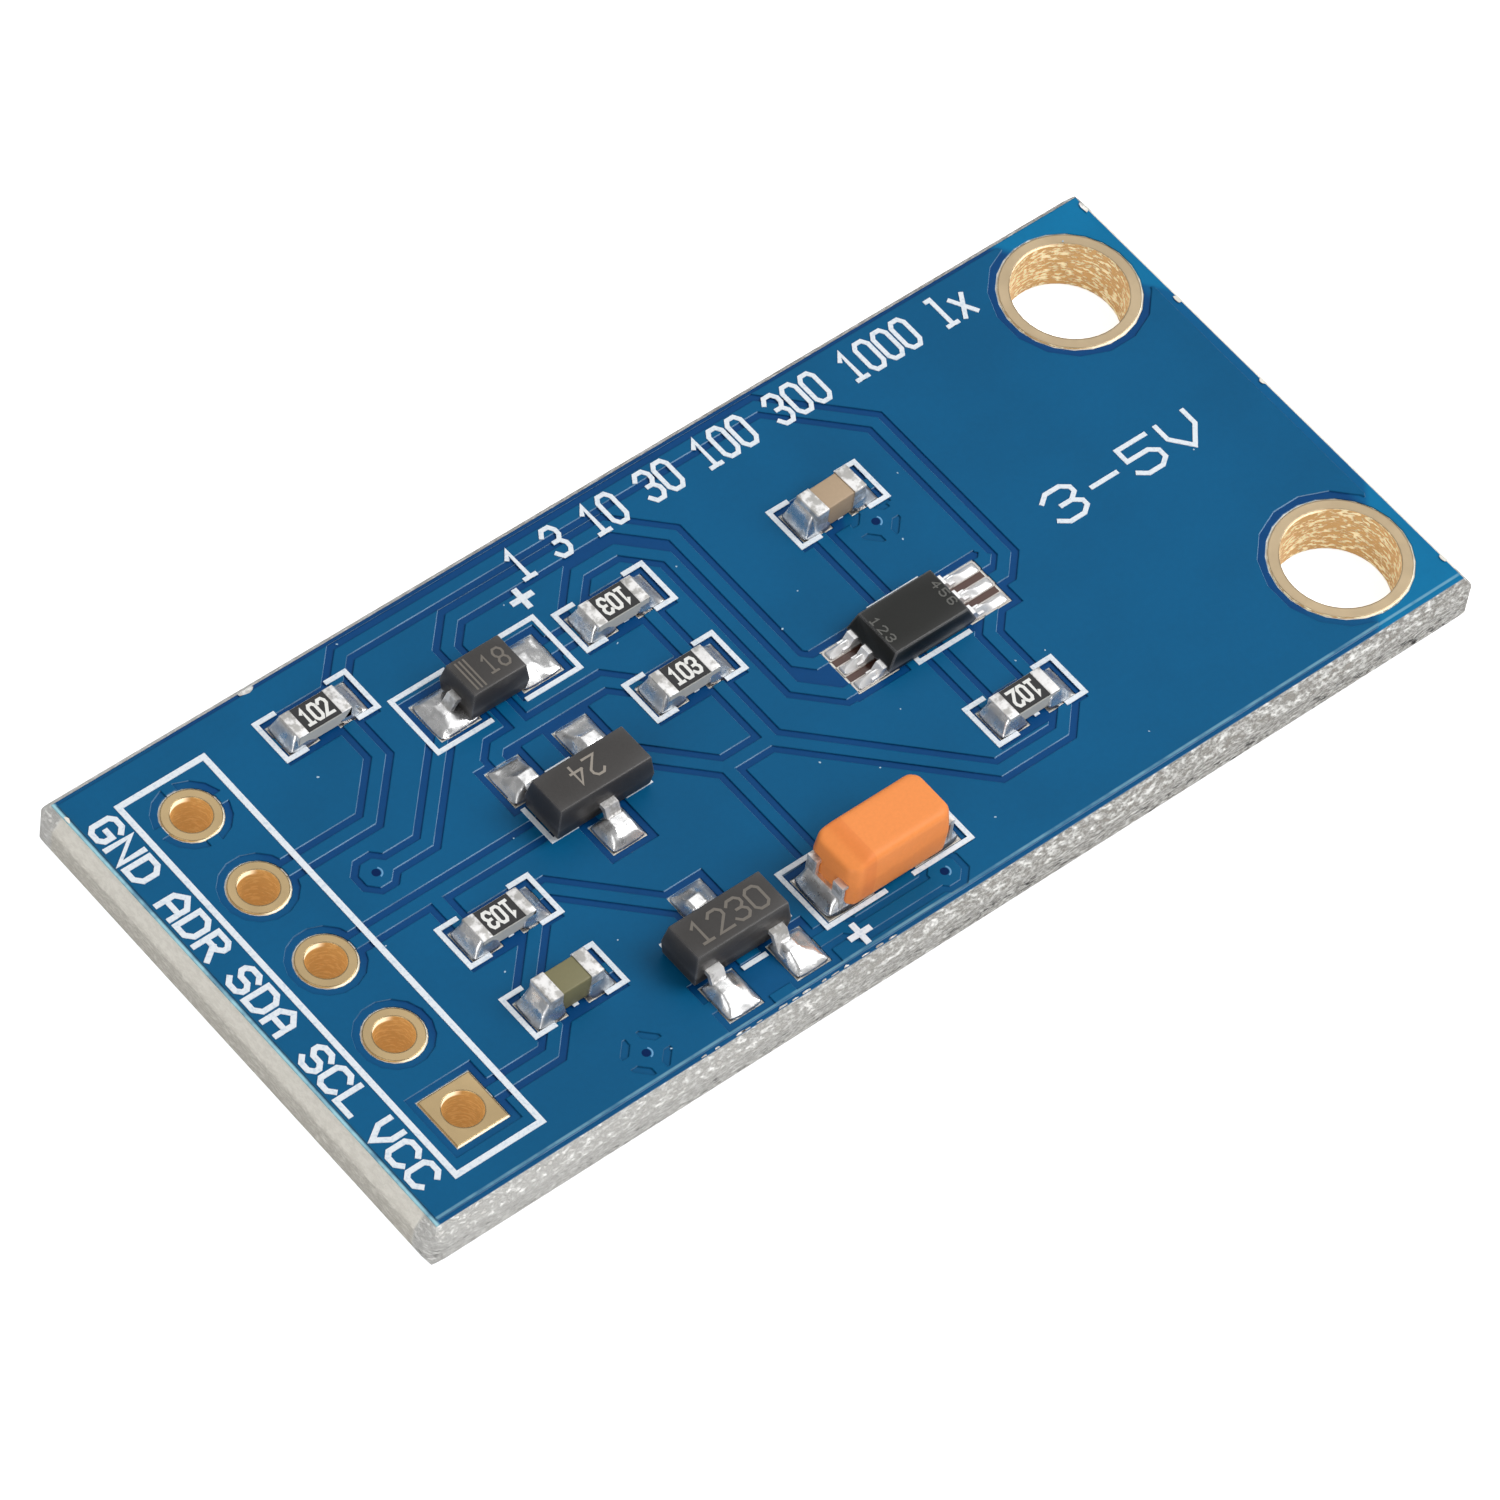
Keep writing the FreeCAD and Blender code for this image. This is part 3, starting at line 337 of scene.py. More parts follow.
def laminate_material():
    """Cut glass fibre: a rough band along each end, and long sides that are streaked and pitted all over."""
    material, tree, shader = new_material("laminate_edge")
    coords = tree.coords()
    x, y, z = tree.split(coords)
    long_side = tree.between(tree.math("ABSOLUTE", y), HALF_WIDTH - 0.5, HALF_WIDTH - 0.35)
    # Streaks and pits on the long sides fade towards the left end.
    marks_rightward = tree.between(x, -HALF_LENGTH, 0.3 * HALF_LENGTH, 0.35, 1.0)
    band = tree.times(tree.between(z, 0.2, 0.4), tree.between(z, 1.3, 1.1))
    layers = tree.vector_math("MULTIPLY", coords, (1.0, 1.0, 3.0))
    streaks = tree.ramp(tree.noise(layers, 4400.0, 5.0, 0.8), 0.4, 0.62)
    middle = tree.times(tree.between(z, 0.15, 0.3), tree.between(z, 1.15, 0.8, 0.15, 1.0))
    pits = tree.times(tree.ramp(tree.noise(layers, 2600.0, 4.0, 0.7), 0.55, 0.66), middle)
    end_streaks = tree.times(streaks, tree.math("ADD", 0.25, tree.times(band, 0.3)))
    side_color = tree.mix(tree.times(streaks, marks_rightward), SIDE_LIGHT, SIDE_DARK)
    side_color = tree.mix(tree.times(pits, marks_rightward), side_color, PIT_COLOR)
    depth = tree.math("SUBTRACT", tree.math("SUBTRACT", 1.0, streaks), pits)
    rough = tree.math("MAXIMUM", tree.math("ADD", tree.times(band, 0.5), 0.12), long_side)
    tree.fill(shader, {
        "Base Color": tree.mix(long_side, tree.mix(end_streaks, END_LIGHT, END_DARK), side_color),
        "Normal": tree.bump(tree.times(depth, rough), CUT_RELIEF * MM),
        "Roughness": 0.6, "Specular IOR Level": 0.3})
    return material


# Colour of the painted highlight on a hole's lip, and the side of the lip that gets it.
LIP_HIGHLIGHT_COLOR = to_linear(255, 240, 208)
LIP_SIDE = (0.5, -0.86, 0.0)


def gold_material(name, color, wall_colors, roughness, relief, glow, lip):
    """Gold plate, smooth on the pad. The hole's wall is streaked, glows a little as painted light for light
    passed between the gold walls, and has a painted highlight on its lip.
    """
    material, tree, shader = new_material(name)
    coords = tree.coords()
    direction = tree.surface("Normal")
    wall = tree.ramp(tree.math("ABSOLUTE", tree.split(direction)[2]), 0.75, 0.35)
    # Painted highlight near the top of the wall, on the side that faces LIP_SIDE.
    lit_lip = tree.times(tree.between(tree.split(coords)[2], Z_TOP - lip, Z_TOP - 0.6 * lip),
                         tree.ramp(tree.vector_math("DOT_PRODUCT", direction, LIP_SIDE), 0.35, 0.8))
    layers = tree.vector_math("MULTIPLY", coords, (1.0, 1.0, 2.6))
    streaks = tree.ramp(tree.noise(layers, 5200.0), 0.48, 0.6)
    wall_color = tree.mix(lit_lip, tree.mix(streaks, *wall_colors), LIP_HIGHLIGHT_COLOR)
    shade = tree.ramp(tree.noise(coords, 900.0), 0.3, 0.7, 0.92, 1.08)
    # Painted light: the wall glows, standing in for light passed between the gold walls, more on the lit
    # lip.
    painted_glow = tree.math("ADD", glow, tree.times(lit_lip, 0.5))
    tree.fill(shader, {
        "Base Color": tree.shaded(tree.mix(wall, color, wall_color), shade),
        "Normal": tree.bump(tree.times(streaks, wall), relief * MM, tree.soft_edges(0.06)),
        "Roughness": roughness, "Metallic": tree.math("SUBTRACT", 1.0, tree.times(wall, 0.5)),
        "Emission Color": wall_color, "Emission Strength": tree.times(wall, painted_glow)})
    return material


def tinned_material(name, bright, dull, roughness, patch, depth, metallic):
    """Tin plate with dull patches over bright metal."""
    material, tree, shader = new_material(name)
    field = tree.noise(tree.coords(), 1.0 / (patch * MM), 3.0, 0.6)
    grain = tree.use(GRAIN, Size=patch * 0.6, Depth=depth, Spread=0.25, Normal=tree.surface("Normal"))
    color = tree.mix(tree.ramp(field, 0.42, 0.6), bright, dull)
    tree.fill(shader, {"Base Color": tree.shaded(color, grain["Shade"]), "Normal": grain["Normal"],
                       "Roughness": tree.ramp(field, 0.35, 0.65, roughness, roughness + 0.22),
                       "Metallic": metallic})
    return material


def orange_material():
    """Orange resin with a faint darker stripe near the plus end."""
    material, tree, shader = new_material("orange_resin")
    low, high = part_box("tantalum_case")
    x = tree.split(tree.coords())[0]
    span = high[0] - low[0]
    stripe = tree.times(tree.ramp(x, low[0] + 0.1 * span, low[0] + 0.16 * span),
                        tree.ramp(x, low[0] + 0.25 * span, low[0] + 0.235 * span), 0.22)
    grain = tree.use(GRAIN, Size=0.09, Depth=0.003, Spread=0.14, Normal=tree.soft_edges(0.12))
    color = tree.mix(stripe, to_linear(244, 146, 74), to_linear(214, 96, 34))
    tree.fill(shader, {"Base Color": tree.shaded(color, grain["Shade"]), "Normal": grain["Normal"],
                       "Roughness": 0.5, "Specular IOR Level": 0.35})
    return material


MATERIALS = {
    "laminate": laminate_material(),
    "solder_mask": mask_material(),
    "white_ink": ink_material(),
    "copper": plain_material("tinned_copper", [0.6, 0.56, 0.52, 1], 0.4, 1.0),
    "gold_plating": gold_material("gold_ring", [0.5, 0.39, 0.25, 1],
                                  (to_linear(200, 162, 110), to_linear(255, 240, 200)),
                                  0.34, 0.05, 0.34, 0.1),
    "solder": tinned_material("bright_solder", [0.9, 0.9, 0.9, 1], [0.62, 0.62, 0.62, 1],
                              0.2, 0.35, 0.01, 0.9),
    "tinned_metal": tinned_material("tinned_metal", [0.86, 0.85, 0.84, 1], [0.5, 0.49, 0.47, 1],
                                    0.36, 0.3, 0.006, 0.75),
    "white_ceramic": plain_material("white_ceramic", to_linear(196, 196, 190), 0.6),
    "black_glaze": plain_material("black_glaze", to_linear(26, 26, 28), 0.35, size=0.12, depth=0.003),
    "olive_ceramic": plain_material("olive_ceramic", to_linear(122, 117, 82), 0.5),
    "tan_ceramic": plain_material("tan_ceramic", to_linear(176, 152, 124), 0.5),
    "orange_moulding": orange_material(),
    "glossy_moulding": plain_material("glossy_black", to_linear(21, 22, 19), 0.36, size=0.09, depth=0.003,
                                      spread=0.3, edge=0.055, level=0.32),
    "black_moulding": plain_material("matt_black", to_linear(50, 47, 45), 0.45, size=0.07, depth=0.004,
                                     spread=0.35, edge=0.03),
}
PIN_GOLD = gold_material("gold_pad", [0.44, 0.325, 0.175, 1],
                         (to_linear(190, 148, 88), to_linear(204, 162, 100)), 0.26, 0.005, 0.4, 0.22)
BRIGHT_TIN = tinned_material("bright_tin", [0.95, 0.95, 0.95, 1], [0.88, 0.87, 0.86, 1],
                             0.28, 0.4, 0.004, 0.62)
LASER_WHITE = plain_material("laser_white", to_linear(232, 232, 228), 0.6)
LASER_GREY = plain_material("laser_grey", to_linear(150, 142, 132), 0.6)
LASER_FAINT = plain_material("laser_faint", to_linear(112, 106, 98), 0.6)
LASER_DIM = plain_material("laser_dim", to_linear(92, 92, 88), 0.6)
# Painted shade in the via dimples.
DIMPLE_SHADE_BLUE = plain_material("dimple_shade_blue", to_linear(4, 36, 84), 0.7, level=0.08)
# Painted highlight on the via rims.
RIM_HIGHLIGHT_BLUE = plain_material("dimple_rim_highlight", to_linear(96, 156, 200), 0.6)
# Flux brown, darkened by painted shade between the sensor's leads.
FLUX_AND_SHADE_BROWN = plain_material("flux_and_shade_brown", to_linear(84, 58, 50), 0.3)
DUST = plain_material("dust", to_linear(170, 196, 214), 0.8)


def dress_nodes():
    """Gives every CAD node the finish of its slot, but for the pin holes and the sensor's leads."""
    for name, obj in frame["nodes"].items():
        material = MATERIALS[SLOTS[name]]
        if name.startswith("pin_hole"):
            material = PIN_GOLD
        elif name.startswith("sensor_leads"):
            material = BRIGHT_TIN
        for slot in obj.material_slots:
            slot.material = material


# Finished pieces

def add_piece(name, mesh, material):
    """Puts a finished mesh on the object under one name."""
    mesh.name = name
    mesh.materials.clear()
    mesh.materials.append(material)
    obj = bpy.data.objects.new(name, mesh)
    bpy.context.scene.collection.objects.link(obj)
    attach(obj, "root")
    return obj


def piece_from_shape(name, shape, material):
    """Puts a finished shape on the object under one name."""
    mesh = bpy.data.meshes.new(name)
    shape.to_mesh(mesh)
    shape.free()
    return add_piece(name, mesh, material)


FLAT_ANGLE = math.radians(1)
ROUNDED_ANGLE = math.radians(24)
SHARP_ANGLE = math.radians(40)
ROUNDING_STEPS = 3


def softened(node, width):
    """Replaces a node by its own shape with rounded edges."""
    shape = merged_shape(node)
    bmesh.ops.dissolve_limit(shape, angle_limit=FLAT_ANGLE, verts=shape.verts, edges=shape.edges)
    edges = [edge for edge in shape.edges if edge.is_manifold and edge.calc_face_angle(0) > ROUNDED_ANGLE]
    bmesh.ops.bevel(shape, geom=edges, offset=width, offset_type="OFFSET", segments=ROUNDING_STEPS,
                    profile=0.5, affect="EDGES", clamp_overlap=True)
    bmesh.ops.scale(shape, vec=Vector((1, 1, 1)) * MM, verts=shape.verts)
    bmesh.ops.recalc_face_normals(shape, faces=shape.faces)
    for face in shape.faces:
        face.smooth = True
    material = frame["nodes"][node].material_slots[0].material
    obj = piece_from_shape(node + "_soft", shape, material)
    obj.data.set_sharp_from_angle(angle=SHARP_ANGLE)
    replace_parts(obj, node)


def rounded_off(node, voxel, passes):
    """Replaces a node by its own shape with all edges worn round."""
    mesh = bpy.data.meshes.new(node)
    shape = merged_shape(node)
    shape.to_mesh(mesh)
    shape.free()
    source = bpy.data.objects.new(node + "_source", mesh)
    bpy.context.scene.collection.objects.link(source)
    remesh = source.modifiers.new("remesh", "REMESH")
    remesh.mode = "VOXEL"
    remesh.voxel_size = voxel
    remesh.use_smooth_shade = True
    smooth = source.modifiers.new("smooth", "SMOOTH")
    smooth.factor = 0.5
    smooth.iterations = passes
    result = evaluated_mesh(source)
    result.transform(Matrix.Scale(MM, 4))
    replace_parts(add_piece(node + "_round", result, MATERIALS[SLOTS[node]]), node)


def evaluated_mesh(source):
    """Plain mesh of an object with its modifiers applied. The object itself goes."""
    mesh = bpy.data.meshes.new_from_object(source.evaluated_get(bpy.context.evaluated_depsgraph_get()))
    bpy.data.objects.remove(source)
    return mesh


# Solder

PAD_MARGIN = 0.055
SENSOR_PAD_MARGIN = 0.01
POOL_EDGE = 0.2
POOL_SWAY = 0.35
SWAY_SCALE = 2.6
CLIMB_POWER = 1.4
CORNER_PULL = 0.09
FOOT_HEIGHT = 0.02
FOOT_MARGIN = 0.01


def away_from(box, x, y):
    """Distance from a point to a box's footprint, zero inside it."""
    dx = max(box[0][0] - x, x - box[1][0], 0.0)
    dy = max(box[0][1] - y, y - box[1][1], 0.0)
    return math.hypot(dx, dy)


def solder_height(x, y, pad, feet, pool, seed):
    """Height of solder above a pad: a low cushion that climbs each foot standing in it."""
    (x0, y0), (x1, y1) = pad
    inset = min(x - x0, x1 - x, y - y0, y1 - y)
    edge = math.sin(min(max(inset / POOL_EDGE, 0.0), 1.0) * math.pi / 2)
    sway = POOL_SWAY * pool * noise.noise(Vector((x * SWAY_SCALE, y * SWAY_SCALE, seed)))
    climb = 0.0
    for foot, rise, reach in feet:
        climb = max(climb, rise * max(0.0, 1.0 - away_from(foot, x, y) / reach) ** CLIMB_POWER)
    return edge * (pool + sway + climb)


def foot_of(node, low, high):
    """The flat foot of one lead: the part of its box that lies low, at its outer end."""
    shape = merged_shape(node)
    flat = [vert.co.copy() for vert in shape.verts
            if vert.co.z < low[2] + FOOT_HEIGHT
            and low[0] - FOOT_MARGIN < vert.co.x < high[0] + FOOT_MARGIN
            and low[1] - FOOT_MARGIN < vert.co.y < high[1] + FOOT_MARGIN]
    shape.free()
    points = np.array(flat)
    return points.min(axis=0), points.max(axis=0)


def rounded(s, t):
    """Pulls the corners of a unit square in a little."""
    a, b = 2 * s - 1, 2 * t - 1
    pull = CORNER_PULL * (a * b) ** 4
    return 0.5 + 0.5 * a * (1 - pull), 0.5 + 0.5 * b * (1 - pull)


def add_pool(shape, pad, feet, pool, seed, steps):
    """Closed low solid over one pad with the solder's height field on top."""
    (x0, y0), (x1, y1) = pad
    grid = []
    for i in range(steps + 1):
        row = []
        for j in range(steps + 1):
            s, t = rounded(i / steps, j / steps)
            x, y = x0 + (x1 - x0) * s, y0 + (y1 - y0) * t
            z = Z_PAD + solder_height(x, y, pad, feet, pool, seed)
            row.append(shape.verts.new(Vector((x, y, z)) * MM))
        grid.append(row)
    for i in range(steps):
        for j in range(steps):
            face = shape.faces.new((grid[i][j], grid[i + 1][j], grid[i + 1][j + 1], grid[i][j + 1]))
            face.smooth = True
    rim = [grid[i][0] for i in range(steps)] + [grid[steps][j] for j in range(steps)]
    rim += [grid[i][steps] for i in range(steps, 0, -1)] + [grid[0][j] for j in range(steps, 0, -1)]
    shape.faces.new(rim[::-1])


def solder_piece(name, feet_nodes, pool, rise, reach, steps=30, material=MATERIALS["solder"],
                 margin=PAD_MARGIN):
    """Solder of one part, on the pads that its CAD node covers. The rise is a share of a foot's height."""
    feet = []
    for node in feet_nodes:
        for low, high in islands(node):
            painted_glow = rise * (high[2] - low[2])
            if "lead" in node:
                low, high = foot_of(node, low, high)
            feet.append(((low[:2], high[:2]), painted_glow, reach))
    shape = bmesh.new()
    for k, (low, high) in enumerate(islands(name + "_solder")):
        pad = (low[:2] - margin, high[:2] + margin)
        add_pool(shape, pad, feet, pool, k * 3.7 + len(name), steps)
    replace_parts(piece_from_shape(name + "_joints", shape, material), name + "_solder")


# Printing

SILK_THICKNESS = 0.02
LASER_THICKNESS = 0.004
STROKE_STEP = 0.001

# Each sign is drawn as lines on a grid 4 wide and 6 high. A line that would touch itself is drawn as two.
ROUND = ((1, 0), (3, 0), (4, 1), (4, 5), (3, 6), (1, 6), (0, 5), (0, 1), (1, 0))
STROKES = {
    "0": [ROUND],
    "1": [((0.7, 4.8), (2, 6), (2, 0)), ((0.6, 0), (3.4, 0))],
    "2": [((0, 5), (1, 6), (3, 6), (4, 5), (4, 3.8), (0, 0), (4, 0))],
    "3": [((0, 5), (1, 6), (3, 6), (4, 5), (4, 4), (3, 3), (4, 2), (4, 1), (3, 0), (1, 0), (0, 1)),
          ((1.6, 3), (3, 3))],
    "4": [((3, 0), (3, 6), (0, 2)), ((0, 2), (4, 2))],
    "5": [((4, 6), (0, 6), (0, 3.5), (3, 3.5), (4, 2.5), (4, 1), (3, 0), (1, 0), (0, 1))],
    "6": [((4, 5), (3, 6), (1, 6), (0, 5), (0, 1), (1, 0), (3, 0), (4, 1), (4, 2), (3, 3)),
          ((3, 3), (0.4, 3))],
    "8": [((1, 3), (0, 4), (0, 5), (1, 6), (3, 6), (4, 5), (4, 4), (3, 3), (1, 3)),
          ((1, 3), (0, 2), (0, 1), (1, 0), (3, 0), (4, 1), (4, 2), (3, 3), (1, 3))],
    "-": [((0.3, 3), (3.7, 3))],
    "A": [((0, 0), (0, 4.2), (2, 6), (4, 4.2), (4, 0)), ((0, 2.2), (4, 2.2))],
    "C": [((4, 5), (3, 6), (1, 6), (0, 5), (0, 1), (1, 0), (3, 0), (4, 1))],
    "D": [((0, 0), (2.6, 0), (4, 1.4), (4, 4.6), (2.6, 6), (0, 6), (0, 0))],
    "G": [((4, 5), (3, 6), (1, 6), (0, 5), (0, 1), (1, 0), (3, 0), (4, 1), (4, 2.8), (2.2, 2.8))],
    "L": [((0, 6), (0, 0), (4, 0))],
    "N": [((0, 0), (0, 6), (4, 0), (4, 6))],
    "R": [((0, 0), (0, 6)), ((0, 6), (3, 6), (4, 5), (4, 4), (3, 3), (0, 3)), ((2, 3), (4, 0))],
    "S": [((4, 5), (3, 6), (1, 6), (0, 5), (0, 4), (1, 3), (3, 3), (4, 2), (4, 1), (3, 0), (1, 0), (0, 1))],
    "V": [((0, 6), (0, 3.2), (2, 0), (4, 3.2), (4, 6))],
    "l": [((0.9, 6), (2, 6), (2, 0)), ((0.7, 0), (3.3, 0))],
    "x": [((0.2, 4), (3.8, 0)), ((0.2, 0), (3.8, 4))],
}


def add_stroke(shape, points, stroke, thickness):
    """Closed flat ribbon of one width along a line of points, mitred where the line turns."""
    closed = points[0] == points[-1]
    spine = [Vector(point) for point in (points[:-1] if closed else points)]
    last = len(spine) - 1
    rings = []
    for k, here in enumerate(spine):
        before = (here - spine[k - 1]).normalized() if closed or k else None
        after = (spine[(k + 1) % len(spine)] - here).normalized() if closed or k < last else None
        before, after = before or after, after or before
        side = Vector((-before.y - after.y, before.x + after.x)).normalized()
        reach = stroke / 2 / max(side.dot(Vector((-after.y, after.x))), 0.5)
        if not closed and k in (0, last):
            here = here - before * stroke / 2 if k == 0 else here + after * stroke / 2
        corners = [here + side * reach, here - side * reach]
        rings.append([shape.verts.new((*corner, z)) for z in (0.0, thickness) for corner in corners])
    pairs = list(zip(rings, rings[1:])) + ([(rings[-1], rings[0])] if closed else [])
    for (a0, a1, a2, a3), (b0, b1, b2, b3) in pairs:
        for corners in ((a2, a3, b3, b2), (a1, a0, b0, b1), (a0, a2, b2, b0), (a3, a1, b1, b3)):
            shape.faces.new(corners)
    if not closed:
        for a0, a1, a2, a3 in (rings[0], rings[-1]):
            shape.faces.new((a0, a1, a3, a2))


def printed(name, text, at, size, heading, z, material, stroke, gap, thickness=SILK_THICKNESS):
    """Flat lettering in strokes of one width, centred on a place and read along a heading in degrees."""
    length, height = size
    wide = (length - stroke) / (4 * len(text) + gap * (len(text) - 1))
    tall = (height - stroke) / 6
    shape = bmesh.new()
    for k, letter in enumerate(text):
        for n, points in enumerate(STROKES.get(letter, ())):
            line = [((x + k * (4 + gap)) * wide - (length - stroke) / 2, (y - 3) * tall) for x, y in points]
            add_stroke(shape, line, stroke, thickness + STROKE_STEP * n)
    bmesh.ops.recalc_face_normals(shape, faces=shape.faces)
    turn = Matrix.Rotation(math.radians(heading), 4, "Z")
    place = Matrix.Translation(on_board(at[0], at[1], z)) @ turn @ Matrix.Scale(MM, 4)
    bmesh.ops.transform(shape, matrix=place, verts=shape.verts)
    piece_from_shape(name, shape, material)


# Small flat things

def flat_patches(name, patches, z, thickness, material):
    """Thin closed plates, each given as its outline points on the board."""
    shape = bmesh.new()
    for points in patches:
        low = [shape.verts.new(on_board(u, v, z)) for u, v in points]
        high = [shape.verts.new(on_board(u, v, z + thickness)) for u, v in points]
        shape.faces.new(low[::-1])
        shape.faces.new(high)
        for k in range(len(points)):
            n = (k + 1) % len(points)
            shape.faces.new((low[k], low[n], high[n], high[k]))
    bmesh.ops.recalc_face_normals(shape, faces=shape.faces)
    piece_from_shape(name, shape, material)


def ragged_disc(rng, u, v, length, width, count=9):
    """Outline of a small irregular spot."""
    points = []
    for k in range(count):
        angle = 2 * math.pi * k / count
        reach = rng.uniform(0.65, 1.0)
        points.append((u + reach * length * math.cos(angle), v + reach * width * math.sin(angle)))
    return points


def disc_scatter():
    """Geometry nodes that set a flat disc on every point, each turned and stretched within given limits."""
    group, tree, given, result = new_group(
        "disc_scatter", "GeometryNodeTree",
        (("Points", "Geometry"), ("Sides", "Int"), ("Radius", "Float"), ("Thickness", "Float"),
         ("Smallest", "Vector"), ("Largest", "Vector"), ("Turn", "Float"), ("Seed", "Int"),
         ("Material", "Material")),
        (("Geometry", "Geometry"),))
    disc = tree.node("GeometryNodeMeshCylinder")
    tree.fill(disc.inputs, {"Vertices": given["Sides"], "Radius": given["Radius"],
                            "Depth": given["Thickness"]})
    size = tree.node("FunctionNodeRandomValue", data_type="FLOAT_VECTOR")
    tree.fill(size.inputs, {0: given["Smallest"], 1: given["Largest"], "Seed": given["Seed"]})
    turn = tree.node("FunctionNodeRandomValue", data_type="FLOAT")
    tree.fill(turn.inputs, {3: given["Turn"], "Seed": given["Seed"]})
    heading = tree.node("ShaderNodeCombineXYZ")
    tree.feed(turn.outputs[1], heading.inputs["Z"])
    placed = tree.node("GeometryNodeInstanceOnPoints")
    tree.fill(placed.inputs, {"Points": given["Points"], "Instance": disc.outputs["Mesh"],
                              "Rotation": heading.outputs[0], "Scale": size.outputs[0]})
    solid = tree.node("GeometryNodeRealizeInstances")
    tree.feed(placed.outputs[0], solid.inputs[0])
    dressed = tree.node("GeometryNodeSetMaterial")
    tree.fill(dressed.inputs, {"Geometry": solid.outputs[0], "Material": given["Material"]})
    tree.feed(dressed.outputs[0], result["Geometry"])
    return group


DISC_SCATTER = disc_scatter()
SCATTER_SEED = 3
SAME_SIZE = (1.0, 1.0, 1.0)


def scattered_discs(name, places, sides, radius, thickness, smallest, largest, turn, material):
    """Flat discs of one thickness on the mask, one at each place, made by the scatter nodes."""
    points = bpy.data.meshes.new(name + "_points")
    points.from_pydata([on_board(u, v, Z_TOP + thickness / 2) for u, v in places], [], [])
    source = bpy.data.objects.new(name + "_source", points)
    bpy.context.scene.collection.objects.link(source)
    scatter = source.modifiers.new("scatter", "NODES")
    scatter.node_group = DISC_SCATTER
    values = {"Sides": sides, "Radius": radius * MM, "Thickness": thickness * MM, "Smallest": smallest,
              "Largest": largest, "Turn": turn, "Seed": SCATTER_SEED, "Material": material}
    for socket in DISC_SCATTER.interface.items_tree:
        if socket.name in values:
            scatter[socket.identifier] = values[socket.name]
    add_piece(name, evaluated_mesh(source), material)


# The module

def add_solder():
    """Flowed solder of every part, over the pads of its CAD solder."""
    for name in RESISTORS:
        solder_piece(name, [name + "_terminals"], 0.06, 0.9, 0.42)
    for name in CAPACITORS:
        solder_piece(name, [name + "_end_caps"], 0.06, 0.76, 0.42)
    for name in ("regulator", "transistor"):
        solder_piece(name, [name + "_leads"], 0.12, 0.46, 0.5)
    solder_piece("diode", ["diode_lead_plus", "diode_lead_minus"], 0.1, 0.3, 0.5)
    solder_piece("tantalum", ["tantalum_lead_plus", "tantalum_lead_minus"], 0.07, 0.45, 0.5)
    solder_piece("sensor", ["sensor_leads_left", "sensor_leads_right"], 0.08, 0.6, 0.5, 20, BRIGHT_TIN,
                 SENSOR_PAD_MARGIN)


def add_soft_cases():
    """Moulded cases, terminals and end caps with their edges rounded as moulding and plating leave them."""
    rounded_off("tantalum_case", 0.035, 34)
    for node in ("regulator_case", "transistor_case", "diode_case"):
        softened(node, 0.04)
    softened("sensor_case", 0.025)
    for name in RESISTORS:
        softened(name + "_terminals", 0.035)
    for name in CAPACITORS:
        softened(name + "_end_caps", 0.03)
        softened(name + "_body", 0.04)


def add_flux_and_shade():
    """Brown flux left between the sensor's close leads, darkened as painted shade between them."""
    pads = islands("sensor_solder")
    patches = []
    for side in (pads[:3], pads[3:]):
        u0, u1 = side[0][0][0] + HALF_LENGTH, side[0][1][0] + HALF_LENGTH
        v0, v1 = side[0][0][1] + 0.2, side[2][1][1] - 0.2
        patches.append([(u0, v0), (u1, v0), (u1, v1), (u0, v1)])
    flat_patches("sensor_flux_and_shade", patches, Z_PAD - 0.035, 0.012, FLUX_AND_SHADE_BROWN)


PIN_MARKS = (("VCC", -5.25), ("SCL", -2.75), ("SDA", -0.04), ("ADR", 2.54), ("GND", 5.17))
SCALE_ROW = "1 3 10 30 100 300 1000 lx"
SUPPLY_RANGE = "3-5V"


def add_print():
    """Function words by the pin holes, a scale of light levels along the far edge and the supply range."""
    ink = MATERIALS["white_ink"]
    for text, v in PIN_MARKS:
        printed("mark_" + text.lower(), text, (0.595, v), (2.05, 0.85), -90, Z_TOP, ink, 0.145, 1.7)
    printed("scale_row", SCALE_ROW, (20.22, 6.35), (14.4, 1.03), 0, Z_TOP, ink, 0.12, 1.7)
    printed("voltage_mark", SUPPLY_RANGE, (27.1, 0.1), (4.8, 1.1), 0, Z_TOP, ink, 0.125, 1.7)


def lasered(name, text, node, shift, size, heading, material, stroke, gap):
    """Thin lettering on top of a node, shifted along and across from its middle."""
    u, v, z = top_middle(node)
    printed(name, text, (u + shift[0], v + shift[1]), size, heading, z, material, stroke, gap,
            LASER_THICKNESS)


